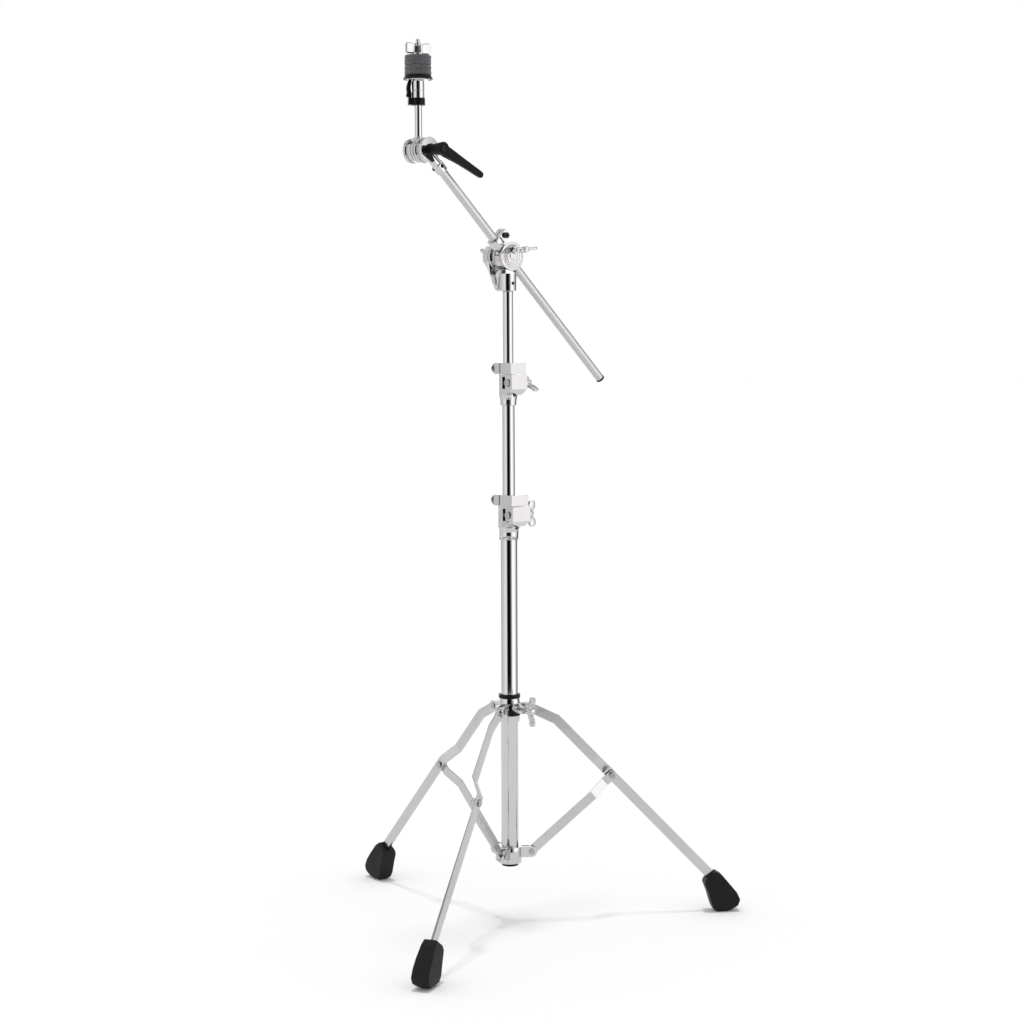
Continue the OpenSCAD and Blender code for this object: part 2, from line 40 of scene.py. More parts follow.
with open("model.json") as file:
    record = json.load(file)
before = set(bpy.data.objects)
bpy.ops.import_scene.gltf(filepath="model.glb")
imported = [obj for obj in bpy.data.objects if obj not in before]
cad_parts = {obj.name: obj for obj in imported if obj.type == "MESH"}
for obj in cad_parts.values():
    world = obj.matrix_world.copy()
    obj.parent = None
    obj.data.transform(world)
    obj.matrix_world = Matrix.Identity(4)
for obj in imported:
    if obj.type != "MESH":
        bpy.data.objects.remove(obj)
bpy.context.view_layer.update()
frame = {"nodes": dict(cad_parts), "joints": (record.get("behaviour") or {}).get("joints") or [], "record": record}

import json
import math

import bmesh
import bpy
from bpy.props import FloatProperty, FloatVectorProperty, IntProperty, PointerProperty
from mathutils.bvhtree import BVHTree
from mathutils import Matrix, Vector, noise

MM = 0.001
NODES = frame["nodes"]
BODY_OF = {n: b for b, names in frame["record"]["behaviour"]["bodies"].items() for n in names}
SLOT_OF = {s["node"]: s["material_slot"] for s in frame["record"]["subparts"]}
JOINTS = {j["name"]: j for j in frame["joints"]}


# ---- colours ----

def linear(code):
    """Linear RGBA of an sRGB hex colour."""
    channels = [int(code[i:i + 2], 16) / 255 for i in (1, 3, 5)]
    return [c / 12.92 if c <= 0.04045 else ((c + 0.055) / 1.055) ** 2.4 for c in channels] + [1.0]


# ---- settings that a user would change ----

def paint(name, description, code):
    """A colour setting."""
    return FloatVectorProperty(
        name=name, description=description, subtype="COLOR", size=4, default=linear(code))


def span(name, description, size):
    """A length setting."""
    return FloatProperty(name=name, description=description, unit="LENGTH", default=size)


class StandColours(bpy.types.PropertyGroup):
    chrome: paint("Chrome", "Mirror plate on tubes, castings and wings", "#CAC8C8")
    zinc: paint("Zinc", "Bright zinc plate on bolts, pins and set screws", "#B4B6B9")
    felt: paint("Felt", "Pressed wool of the cymbal felts", "#4B4C4F")
    rubber: paint("Rubber", "Boots on the legs", "#141415")
    nylon: paint("Nylon", "Sleeve base, cup, liners and caps", "#0B0B0C")
    lever: paint("Lever", "Glass-filled nylon of the clamping lever", "#0C0C0D")
    floor: paint("Floor", "Studio floor", "#E6E6E6")


class StandSizes(bpy.types.PropertyGroup):
    casting_edge: span("Casting Edge", "Radius on the edges of the die castings", 1.1 * MM)
    strip_edge: span("Strip Edge", "Radius on the edges of legs and braces", 0.5 * MM)
    knurl_pitch: span("Knurl Pitch", "Width of one knurl diamond on the boom", 1.6 * MM)
    knurl_depth: span("Knurl Depth", "Height of the knurl on the boom", 0.06 * MM)
    tube_sides: IntProperty(
        name="Tube Sides", description="Faces around each tube", default=96)
    floor_radius: span("Floor Radius", "Radius of the studio floor", 1.9)


def colours():
    return bpy.context.scene.stand_colours


def sizes():
    return bpy.context.scene.stand_sizes


# ---- materials ----

def add(tree, kind, inputs=(), **settings):
    """Adds a node; inputs maps socket names or numbers to values or to the sockets that feed them."""
    made = tree.nodes.new(kind)
    for key, value in settings.items():
        setattr(made, key, value)
    for key, value in dict(inputs).items():
        if isinstance(value, bpy.types.NodeSocket):
            tree.links.new(value, made.inputs[key])
        else:
            made.inputs[key].default_value = value
    return made


def start_material(name):
    """An empty material, its tree, and Object coordinates in metres."""
    material = bpy.data.materials.get(name)
    if material:
        return material, None, None
    material = bpy.data.materials.new(name)
    material.use_nodes = True
    material.node_tree.nodes.clear()
    tree = material.node_tree
    return material, tree, add(tree, "ShaderNodeTexCoord").outputs["Object"]


def finish_material(tree, inputs, height=None, depth=0.0):
    """Principled surface with an optional bump of the given depth in metres."""
    if height is not None:
        bump = add(tree, "ShaderNodeBump", {"Strength": 1.0, "Distance": depth, "Height": height})
        inputs = {**inputs, "Normal": bump.outputs["Normal"]}
    surface = add(tree, "ShaderNodeBsdfPrincipled", inputs)
    add(tree, "ShaderNodeOutputMaterial", {"Surface": surface.outputs["BSDF"]})


def spread(tree, value, low, high):
    """Maps a 0 to 1 pattern to low..high."""
    return add(tree, "ShaderNodeMapRange", {"Value": value, "To Min": low, "To Max": high}).outputs["Result"]


def set_mix(tree, factor, low, high):
    """Mix of two colours by a pattern; the RGBA sockets are addressed by number."""
    made = add(tree, "ShaderNodeMix", {0: factor, 6: low, 7: high}, data_type="RGBA")
    return made.outputs[2]


def shade(tree, value, colour, low, high):
    """The colour scaled between low and high along a 0 to 1 pattern."""
    dark = [c * low for c in colour[:3]] + [1.0]
    light = [min(c * high, 1.0) for c in colour[:3]] + [1.0]
    return set_mix(tree, value, dark, light)


def cloudy(tree, place, size, detail):
    """Soft noise from 0 to 1, with clouds of about the given size in millimetres."""
    made = add(tree, "ShaderNodeTexNoise", {"Vector": place, "Scale": 1 / (size * MM), "Detail": detail})
    return made.outputs["Fac"]


def worn_finish(tree, pattern, colour, tones, roughness, relief, depth, others):
    """Finish whose colour and roughness follow one pattern, over a relief of a depth in millimetres."""
    finish_material(tree, {
        "Base Color": shade(tree, pattern, colour, *tones),
        "Roughness": spread(tree, pattern, *roughness),
        **others}, relief, depth * MM)


def chrome_plate():
    """Decorative chrome over nickel on drawn steel: a mirror with faint haze where it has been wiped."""
    material, tree, place = start_material("chrome plate on drawn steel tube")
    if tree:
        haze = cloudy(tree, place, 60, 3.0)
        wipes = add(tree, "ShaderNodeMapping", {"Vector": place, "Scale": (1.0, 1.0, 0.05)})
        lines = cloudy(tree, wipes.outputs["Vector"], 0.7, 2.0)
        worn_finish(tree, haze, colours().chrome, (0.95, 1.02), (0.03, 0.11), lines, 0.0015,
                    {"Metallic": 1.0})
    return material


def chrome_cast():
    """Chrome on zinc die casting: bright, with the slight waviness of a hand-buffed casting."""
    material, tree, place = start_material("chrome plate on zinc die casting")
    if tree:
        wave = cloudy(tree, place, 7, 1.5)
        haze = cloudy(tree, place, 25, 4.0)
        worn_finish(tree, haze, colours().chrome, (0.93, 1.02), (0.05, 0.14), wave, 0.05, {"Metallic": 1.0})
    return material


def chrome_strip():
    """Chrome on rolled flat steel: the mill's faint ripple blurs what it mirrors."""
    material, tree, place = start_material("chrome plate on rolled steel strip")
    if tree:
        ripple = cloudy(tree, place, 14, 3.0)
        haze = cloudy(tree, place, 45, 4.0)
        worn_finish(tree, haze, colours().chrome, (0.82, 1.02), (0.1, 0.24), ripple, 0.09, {"Metallic": 1.0})
    return material


def chrome_knurl():
    """Chrome over rolled knurling: one fine speckle drives bump, roughness and colour, with a painted glint
    lighter on its crests and painted shade darker in its hollows.
    """
    material, tree, place = start_material("chrome plate on knurled tube")
    if tree:
        knurl_speck_and_painted_glint = cloudy(tree, place, 1.5, 2.0)
        # painted glint and shade: the colour follows the bump, lighter on the crests and darker in the hollows
        worn_finish(tree, knurl_speck_and_painted_glint, colours().chrome, (0.8, 1.05), (0.2, 0.5), knurl_speck_and_painted_glint, 0.12, {"Metallic": 1.0})
    return material


def zinc_plate():
    """Bright zinc on turned steel: duller than chrome, with a cool cloudy sheen."""
    material, tree, place = start_material("zinc plate on turned steel")
    if tree:
        cloud = cloudy(tree, place, 3, 4.0)
        worn_finish(tree, cloud, colours().zinc, (0.82, 1.06), (0.2, 0.38), cloud, 0.012, {"Metallic": 1.0})
    return material


def black_oxide():
    """Black oxide on alloy steel: dark satin metal with an oily sheen."""
    material, tree, place = start_material("black oxide on socket screw")
    if tree:
        cloud = cloudy(tree, place, 2, 3.0)
        worn_finish(tree, cloud, linear("#101012"), (0.7, 1.3), (0.3, 0.45), cloud, 0.01, {"Metallic": 0.3})
    return material


def black_nylon():
    """Injection-moulded nylon: deep black with the mould's fine spark-eroded texture."""
    material, tree, place = start_material("moulded black nylon")
    if tree:
        grain = cloudy(tree, place, 0.5, 3.0)
        cloud = cloudy(tree, place, 12, 2.0)
        worn_finish(tree, cloud, colours().nylon, (0.8, 1.25), (0.3, 0.44), grain, 0.02,
                    {"Specular IOR Level": 0.14, "IOR": 1.53})
    return material


def filled_nylon():
    """Glass-filled nylon of the lever: coarse matt grain, grey where fingers have polished it."""
    material, tree, place = start_material("glass-filled black nylon")
    if tree:
        grain = add(tree, "ShaderNodeTexVoronoi", {"Vector": place, "Scale": 1 / (0.8 * MM)})
        rub = cloudy(tree, place, 15, 3.0)
        worn_finish(tree, rub, colours().lever, (0.75, 1.4), (0.36, 0.52), grain.outputs["Distance"], 0.05,
                    {"Specular IOR Level": 0.13, "IOR": 1.53})
    return material


def boot_rubber():
    """Moulded rubber: near black, soft highlights, a dusty bloom and a fine matt skin."""
    material, tree, place = start_material("moulded black rubber")
    if tree:
        skin = cloudy(tree, place, 0.9, 4.0)
        bloom = cloudy(tree, place, 18, 4.0)
        worn_finish(tree, bloom, colours().rubber, (0.75, 1.35), (0.45, 0.62), skin, 0.05,
                    {"Specular IOR Level": 0.18, "IOR": 1.52})
    return material


def pressed_felt():
    """Pressed wool felt: matted fibres in flecks of light and dark grey, with a soft fuzz at the edge."""
    material, tree, place = start_material("pressed dark grey wool felt")
    if tree:
        flat = add(tree, "ShaderNodeMapping", {"Vector": place, "Scale": (1.0, 1.0, 2.6)})
        fibre = add(tree, "ShaderNodeTexNoise", {
            "Vector": flat.outputs["Vector"], "Scale": 1 / (1.1 * MM), "Detail": 6.0, "Distortion": 1.8})
        clump = cloudy(tree, flat.outputs["Vector"], 5, 3.0)
        both = calc(tree, "MULTIPLY", fibre.outputs["Fac"], clump)
        crisp = add(tree, "ShaderNodeMapRange", {"Value": both, "From Min": 0.12, "From Max": 0.42})
        finish_material(tree, {
            "Base Color": shade(tree, crisp.outputs["Result"], colours().felt, 0.45, 1.7),
            "Roughness": 0.95,
            "Sheen Weight": 0.35,
            "Sheen Roughness": 0.6,
            "Specular IOR Level": 0.2},
            fibre.outputs["Fac"], 0.35 * MM)
    return material


FINISHES = {
    "chrome_tube": chrome_plate, "chrome_casting": chrome_cast, "chrome_wing": chrome_cast,
    "chrome_strip": chrome_strip, "zinc_screw": zinc_plate, "black_screw": black_oxide,
    "black_nylon": black_nylon, "black_lever": filled_nylon, "felt": pressed_felt, "rubber": boot_rubber,
}


# ---- meshes and places ----

def corners(name):
    """The vertices of a CAD node, in metres."""
    return [v.co.copy() for v in NODES[name].data.vertices]


def heading(degrees):
    """Level unit vector at an angle from +X."""
    return Vector((math.cos(math.radians(degrees)), math.sin(math.radians(degrees)), 0))


def axis_place(origin, axis, side=None):
    """Matrix with local +Z along axis and local +X towards side."""
    up = Vector(axis).normalized()
    side = Vector(side) if side is not None else up.orthogonal()
    side = (side - up * side.dot(up)).normalized()
    turn = Matrix((side, up.cross(side), up)).transposed().to_4x4()
    return Matrix.Translation(origin) @ turn


def measured(name, origin, axis):
    """Lowest and highest place along axis and the reach from it in mm, and the way to that corner."""
    origin, up = Vector(origin), Vector(axis).normalized()
    spots = [(p - origin) for p in corners(name)]
    along = [s.dot(up) for s in spots]
    out = [s - up * a for s, a in zip(spots, along)]
    far = max(out, key=lambda v: v.length)
    return min(along) / MM, max(along) / MM, far.length / MM, far.normalized()


def pivot(joint):
    """Place and axis of a joint."""
    return Vector(JOINTS[joint]["pos_m"]), Vector(JOINTS[joint]["axis"])


def mesh_object(name, made, materials=0):
    """A linked object that takes over a bmesh, with as many empty material places."""
    mesh = bpy.data.meshes.new(name)
    for _ in range(materials):
        mesh.materials.append(None)
    made.to_mesh(mesh)
    made.free()
    thing = bpy.data.objects.new(name, mesh)
    bpy.context.scene.collection.objects.link(thing)
    return thing


def piece(name, made, body, slot, stands_for=(), smooth=40, material=None):
    """Turns a bmesh into a finished piece that rides on a body and takes a slot's finish."""
    return dress(mesh_object(name, made), body, slot, stands_for, smooth, material)


def dress(thing, body, slot, stands_for=(), smooth=40, material=None):
    """Material, shading, body, slot and replaced nodes of a finished mesh object."""
    flat = [face.material_index == LEVEL for face in thing.data.polygons]
    thing.data.materials.clear()
    thing.data.materials.append(material or FINISHES[slot]())
    for face, is_flat in zip(thing.data.polygons, flat):
        face.material_index = 0
        face.use_smooth = not is_flat
    if smooth:
        thing.data.set_sharp_from_angle(angle=math.radians(smooth))
    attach(thing, body)
    if stands_for:
        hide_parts(*stands_for)
    return thing


def ring(made, radius, height, sides, squash=1.0):
    """A ring of vertices around local Z."""
    return [made.verts.new((radius * math.cos(a), radius * squash * math.sin(a), height))
            for a in (math.tau * i / sides for i in range(sides))]


def skin(made, rings, closed=False):
    """Quads between rings that follow each other; closed joins the last ring to the first."""
    pairs = list(zip(rings, rings[1:])) + ([(rings[-1], rings[0])] if closed else [])
    for low, high in pairs:
        n = len(low)
        for i in range(n):
            made.faces.new((low[i], low[(i + 1) % n], high[(i + 1) % n], high[i]))


def lid(made, loop, up=True):
    """Fan that closes a ring at its middle."""
    middle = made.verts.new(sum((v.co for v in loop), Vector()) / len(loop))
    n = len(loop)
    for i in range(n):
        a, b = loop[i], loop[(i + 1) % n]
        made.faces.new((a, b, middle) if up else (b, a, middle))


def turned(made, outline, place, sides=64):
    """Lathe work: a (radius, height) outline in mm turned round place's Z, closed on itself if a tube."""
    hollow = outline[0] == outline[-1]
    points = outline[:-1] if hollow else outline
    start = len(made.verts)
    rings = [ring(made, r * MM, z * MM, sides) for r, z in points]
    skin(made, rings, closed=hollow)
    if not hollow:
        lid(made, rings[0], up=False)
        lid(made, rings[-1], up=True)
    made.verts.ensure_lookup_table()
    for vert in made.verts[start:]:
        vert.co = place @ vert.co
    return made


def lathed(name, outline, place, body, slot, stands_for=(), sides=64, smooth=30):
    """A finished piece from a single lathe outline."""
    return piece(name, turned(bmesh.new(), outline, place, sides), body, slot, stands_for, smooth)


CORE = 0.05  # radius in mm of the fan that closes a solid lathe outline


def rounded_corner(r, z, size, start, end, steps=3):
    """Points of a quarter arc about (r, z), from start to end degrees."""
    return [(r + size * math.cos(math.radians(a)), z + size * math.sin(math.radians(a)))
            for a in (start + (end - start) * i / steps for i in range(steps + 1))]


def disc(r, z0, z1, edge, inner=0.0):
    """Outline of a disc with rounded rims, from its underside to its top."""
    outline = [(max(inner, CORE), z0)]
    outline += rounded_corner(r - edge, z0 + edge, edge, -90, 0)
    outline += rounded_corner(r - edge, z1 - edge, edge, 0, 90)
    outline += [(max(inner, CORE), z1)]
    return outline


def merged(name, whole=True):
    """A bmesh of a CAD node with its loose triangles joined and, if whole, its flat faces made whole."""
    made = bmesh.new()
    made.from_mesh(NODES[name].data)
    bmesh.ops.remove_doubles(made, verts=made.verts, dist=2e-6)
    if whole:
        bmesh.ops.dissolve_limit(made, angle_limit=math.radians(0.6), verts=made.verts, edges=made.edges)
    return made


def plain_mesh(thing):
    """Applies the modifiers of an object that is still being made."""
    bpy.context.view_layer.update()
    ready = thing.evaluated_get(bpy.context.evaluated_depsgraph_get())
    mesh = bpy.data.meshes.new_from_object(ready)
    thing.modifiers.clear()
    thing.data = mesh
    return thing


LEVEL = 1  # material index that marks flat faces until the piece is dressed
LEVEL_TURN = math.radians(0.6)  # faces that turn less than this belong to one flat region
SHARP_TURN = math.radians(24)   # a region whose edges all turn more than this is flat
WIDE_REGION = 6.2 * MM          # so is a region that is wider than this
BEVEL_TURN = math.radians(38)   # edges that turn more than this are rounded


def mark_level(made):
    """Marks the wide flat regions, and those with only sharp edges, so that they keep flat shading."""
    made.normal_update()
    seen = set()
    for seed in made.faces:
        if seed in seen:
            continue
        seen.add(seed)
        region, wait = [], [seed]
        rim, turns = 0.0, [math.pi]
        while wait:
            face = wait.pop()
            region.append(face)
            for edge in face.edges:
                for other in edge.link_faces:
                    if other == face:
                        continue
                    turn = seed.normal.angle(other.normal, math.pi)
                    if turn > LEVEL_TURN:
                        rim += edge.calc_length()
                        turns.append(turn)
                    elif other not in seen:
                        seen.add(other)
                        wait.append(other)
        width = 2 * sum(face.calc_area() for face in region) / max(rim, 1e-9)
        if width > WIDE_REGION or min(turns) > SHARP_TURN:
            for face in region:
                face.material_index = LEVEL


def rounded(name, edge, steps=2, material=None, whole=True):
    """A CAD node's shape with its edges rounded, standing for the node."""
    made = merged(name, whole)
    mark_level(made)
    thing = mesh_object(name + "_piece", made, 3)
    if not edge:
        return dress(thing, BODY_OF[name], SLOT_OF[name], [name], 30, material)
    bevel = thing.modifiers.new("edges", "BEVEL")
    bevel.material = 2
    bevel.width = edge
    bevel.segments = steps
    bevel.limit_method = "ANGLE"
    bevel.angle_limit = BEVEL_TURN
    bevel.use_clamp_overlap = True
    bevel.loop_slide = False
    bevel.miter_outer = "MITER_ARC"
    plain_mesh(thing)
    return dress(thing, BODY_OF[name], SLOT_OF[name], [name], 0, material)


# ---- stage ----

def grey_ramp(tree, value, first, levels):
    """Grey by value: from first at 0, through (value, level) pairs, to white at 1."""
    made = add(tree, "ShaderNodeValToRGB", {"Fac": value})
    stops = made.color_ramp.elements
    for at, level in levels:
        stops.new(at).color = (level, level, level, 1)
    stops[0].color = (first, first, first, 1)
    stops[-1].color = (1, 1, 1, 1)
    return made.outputs["Color"]


def studio_world():
    """White backdrop; mirrors see grey walls, bright side cards and a dark gap behind the camera."""
    world = bpy.data.worlds.new("studio")
    bpy.context.scene.world = world
    world.use_nodes = True
    tree = world.node_tree
    tree.nodes.clear()
    way = add(tree, "ShaderNodeTexCoord").outputs["Generated"]
    parts = add(tree, "ShaderNodeSeparateXYZ", {"Vector": way})
    back = calc(tree, "MULTIPLY", parts.outputs["Y"], -1.0)
    turn = calc(tree, "ARCTAN2", parts.outputs["X"], back)
    share = add(tree, "ShaderNodeMapRange", {"Value": turn, "From Min": -math.pi, "From Max": math.pi})
    # brightness of the walls by degrees from the camera's side, to the right
    walls = [(-180, 1.7), (-150, 1.6), (-132, 0.85), (-112, 0.8), (-75, 1.0), (-52, 1.25), (-38, 1.3),
             (-27, 0.6), (-20, 0.0), (9, 0.0), (20, 0.08), (31, 0.5), (44, 1.6), (66, 1.95), (84, 1.35),
             (108, 0.8), (119, 0.12), (136, 0.1), (150, 1.2), (180, 1.7)]
    ramp = add(tree, "ShaderNodeFloatCurve", {"Value": share.outputs["Result"]})
    curve = ramp.mapping.curves[0]
    while len(curve.points) > 2:
        curve.points.remove(curve.points[1])
    curve.points[0].location = (0.0, walls[0][1] / 2)
    curve.points[1].location = (1.0, walls[-1][1] / 2)
    for angle, level in walls[1:-1]:
        curve.points.new((angle + 180) / 360, level / 2)
    for point in curve.points:
        point.handle_type = "VECTOR"
    ramp.mapping.update()
    wall = calc(tree, "MULTIPLY", ramp.outputs["Value"], 2.0)
    # above the walls: a dark truss line, then a bright ceiling card
    over = grey_ramp(tree, parts.outputs["Z"], 0.0, [(0.5, 0.0), (0.62, 1.0)])
    top = grey_ramp(tree, parts.outputs["Z"], 1.0, [(0.64, 1.0), (0.69, 0.05), (0.72, 0.05), (0.78, 1.0)])
    wall_colour = add(tree, "ShaderNodeCombineColor", {
        "Red": wall, "Green": wall, "Blue": wall})
    seen = set_mix(tree, over, wall_colour.outputs["Color"], top)
    path = add(tree, "ShaderNodeLightPath")
    soft = set_mix(tree, path.outputs["Is Glossy Ray"], (0.9, 0.9, 0.9, 1), seen)
    shown = set_mix(tree, path.outputs["Is Camera Ray"], soft, (1.0, 1.0, 1.0, 1))
    background = add(tree, "ShaderNodeBackground", {"Color": shown, "Strength": 1.0})
    add(tree, "ShaderNodeOutputWorld", {"Surface": background.outputs["Background"]})


def floor_paint():
    """Matt white studio paint: even, with a trace of roller texture."""
    material, tree, place = start_material("matt white studio floor paint")
    if tree:
        roller = cloudy(tree, place, 3, 2.0)
        finish_material(tree, {
            "Base Color": colours().floor, "Roughness": 0.9, "Specular IOR Level": 0.1},
            roller, 0.01 * MM)
    return material


class STAND_OT_stage(bpy.types.Operator):
    """Floor, soft overhead light, studio walls and the camera"""
    bl_idname = "stand.stage"
    bl_label = "Stage"

    def execute(self, context):
        studio_world()
        near = bmesh.new()
        lid(near, ring(near, sizes().floor_radius, 0.0, 128), up=True)
        self.lay(near, "floor")
        far = bmesh.new()
        skin(far, [ring(far, 40.0, 0.0, 128), ring(far, sizes().floor_radius, 0.0, 128)])
        # the far floor fades into the backdrop, and mirrors see the dark studio beyond the near one
        self.lay(far, "far_floor").visible_glossy = False

        lamp = bpy.data.lights.new("overhead softbox", "SUN")
        lamp.angle = math.radians(7.0)
        lamp.energy = 1.2
        softbox = bpy.data.objects.new("overhead softbox", lamp)
        softbox.location = (0.0, 0.0, 3.0)
        softbox.visible_glossy = False
        context.scene.collection.objects.link(softbox)

        lens = bpy.data.cameras.new("camera")
        lens.sensor_width = 36.0
        lens.lens = 72.03
        lens.clip_end = 50.0
        camera = bpy.data.objects.new("camera", lens)
        pitch, roll = math.radians(4.876), 0.004
        camera.matrix_world = (Matrix.Translation((0.0048, -2.9756, 0.8633))
                               @ Matrix.Rotation(math.pi / 2 - pitch, 4, "X")
                               @ Matrix.Rotation(-roll, 4, "Z"))
        context.scene.collection.objects.link(camera)
        context.scene.camera = camera
        context.scene.view_settings.view_transform = "Standard"
        return {"FINISHED"}

    def lay(self, made, name):
        """A floor mesh with the floor paint."""
        floor = mesh_object(name, made)
        floor.data.materials.append(floor_paint())
        return floor


# ---- tubes ----

def tube_outline(outer, wall, z0, z1):
    """Closed outline of a tube with burnished ends."""
    inner, lip = outer - wall, 0.35
    outline = [(inner, z0)]
    outline += rounded_corner(outer - lip, z0 + lip, lip, -90, 0, 2)
    outline += rounded_corner(outer - lip, z1 - lip, lip, 0, 90, 2)
    return outline + [(inner, z1), (inner, z0)]


class STAND_OT_tubes(bpy.types.Operator):
    """Round, finely divided tubes in place of the coarse CAD ones"""
    bl_idname = "stand.tubes"
    bl_label = "Tubes"

    def execute(self, context):
        for name, wall in (("base_tube", 1.6), ("mid_tube", 1.2), ("upper_tube", 1.2)):
            low, high, reach, _ = measured(name, (0, 0, 0), (0, 0, 1))
            lathed(name + "_piece", tube_outline(reach, wall, low, high), Matrix.Identity(4),
                   BODY_OF[name], SLOT_OF[name], [name], sizes().tube_sides, 40)
        return {"FINISHED"}


def boom_origin():
    """The point on the boom's axis nearest the tilter, from the boom's own corners."""
    axis = Vector(JOINTS["boom_slide"]["axis"])
    spots = corners("boom_tube")
    middle = sum(spots, Vector()) / len(spots)
    tilter = Vector(JOINTS["boom_tilt"]["pos_m"])
    return middle + axis * (tilter - middle).dot(axis)


# ---- castings, strips and screws that keep their CAD shape ----

class STAND_OT_castings(bpy.types.Operator):
    """Die castings with rounded edges"""
    bl_idname = "stand.castings"
    bl_label = "Castings"

    def execute(self, context):
        edge = sizes().casting_edge
        # the flat faces of these two are too intricate to be made whole
        rounded("lower_clamp", 0.5 * MM, whole=False)
        rounded("tilter_socket", 0.0, whole=False)
        # a lathed skin gives the socket's barrel a clean mirror
        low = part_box("tilter_socket")[0].z / MM
        barrel = [(11.9, low - 0.02), (12.2, low - 0.02), (12.48, low + 0.3),
                  (12.48, low + 24.3), (12.2, low + 24.62), (11.9, low + 24.62)]
        lathed("socket_barrel", barrel + barrel[:1], Matrix.Identity(4), "upper", "chrome_casting", (), 96)
        for name in ("leg_bracket", "collar", "upper_clamp", "lower_lock", "upper_lock", "boom_lock"):
            rounded(name, edge)
        return {"FINISHED"}


class STAND_OT_strips(bpy.types.Operator):
    """Legs and braces with the soft edges of rolled strip"""
    bl_idname = "stand.strips"
    bl_label = "Legs and Braces"

    def execute(self, context):
        for i in (1, 2, 3):
            rounded(f"leg_{i}", sizes().strip_edge)
            rounded(f"brace_{i}", sizes().strip_edge)
        return {"FINISHED"}


class STAND_OT_screws(bpy.types.Operator):
    """Pins, bolts and plugs with rounded heads"""
    bl_idname = "stand.screws"
    bl_label = "Screws and Pins"

    def execute(self, context):
        for name, slot in SLOT_OF.items():
            if slot in ("zinc_screw", "black_screw"):
                rounded(name, 0.55 * MM, 3)
        for name in ("base_plug", "lower_bushing", "upper_bushing", "collar_liner", "boom_cap",
                     "release_tab"):
            rounded(name, 0.7 * MM)
        return {"FINISHED"}


# ---- shapes that follow a path ----

def section(made, place, wide, high, sides=28, power=2.6):
    """A rounded cross-section ring in place's local XY plane."""
    loop = []
    for i in range(sides):
        a = math.tau * i / sides
        c, d = math.cos(a), math.sin(a)
        x = wide * math.copysign(abs(c) ** (2 / power), c)
        y = high * math.copysign(abs(d) ** (2 / power), d)
        loop.append(made.verts.new(place @ Vector((x, y, 0.0))))
    return loop


def lofted(made, stations, across, power=2.6):
    """Closed skin through (middle, half width across, half height) stations; across stays one way."""
    across = Vector(across).normalized()
    middles = [Vector(s[0]) for s in stations]
    rings = []
    for i, (middle, wide, high) in enumerate(stations):
        way = middles[min(i + 1, len(stations) - 1)] - middles[max(i - 1, 0)]
        rings.append(section(made, axis_place(middle, way, across), wide, high, power=power))
    skin(made, rings)
    lid(made, rings[0], up=False)
    lid(made, rings[-1], up=True)
    return made


def smooth_stations(stations, steps=5):
    """More stations on a smooth curve through the given (middle, wide, high) ones."""
    rows = [tuple(Vector(s[0])) + tuple(s[1:]) for s in stations]
    out = []
    for i in range(len(rows) - 1):
        p = [rows[max(i - 1, 0)], rows[i], rows[i + 1], rows[min(i + 2, len(rows) - 1)]]
        for k in range(steps):
            t = k / steps
            row = [0.5 * (2 * b + (c - a) * t + (2 * a - 5 * b + 4 * c - d) * t * t
                          + (3 * b - a - 3 * c + d) * t ** 3) for a, b, c, d in zip(*p)]
            out.append((Vector(row[:3]), max(row[3], 0.1 * MM), max(row[4], 0.1 * MM)))
    last = rows[-1]
    return out + [(Vector(last[:3]), last[3], last[4])]


# ---- geometry nodes ----

def start_geometry(name, inputs):
    """A geometry tree with named float inputs and a Material input; returns it with its input sockets."""
    tree = bpy.data.node_groups.new(name, "GeometryNodeTree")
    for label, kind in inputs:
        tree.interface.new_socket(label, in_out="INPUT", socket_type=kind)
    tree.interface.new_socket("Geometry", in_out="OUTPUT", socket_type="NodeSocketGeometry")
    given = tree.nodes.new("NodeGroupInput")
    return tree, given.outputs


def finish_geometry(tree, geometry, material):
    """Ends a tree in Realize Instances and Set Material."""
    real = add(tree, "GeometryNodeRealizeInstances", {"Geometry": geometry})
    dressed = add(tree, "GeometryNodeSetMaterial", {
        "Geometry": real.outputs["Geometry"], "Material": material})
    out = tree.nodes.new("NodeGroupOutput")
    tree.links.new(dressed.outputs["Geometry"], out.inputs[0])


def grown(name, tree, values):
    """The plain mesh object that a geometry tree makes from these values, at the origin."""
    thing = bpy.data.objects.new(name, bpy.data.meshes.new(name))
    bpy.context.scene.collection.objects.link(thing)
    maker = thing.modifiers.new("maker", "NODES")
    maker.node_group = tree
    for item in tree.interface.items_tree:
        if item.in_out == "INPUT" and item.name in values:
            maker[item.identifier] = values[item.name]
    return plain_mesh(thing)


def calc(tree, operation, a, b=0.0):
    """One arithmetic step."""
    return add(tree, "ShaderNodeMath", {0: a, 1: b}, operation=operation).outputs[0]


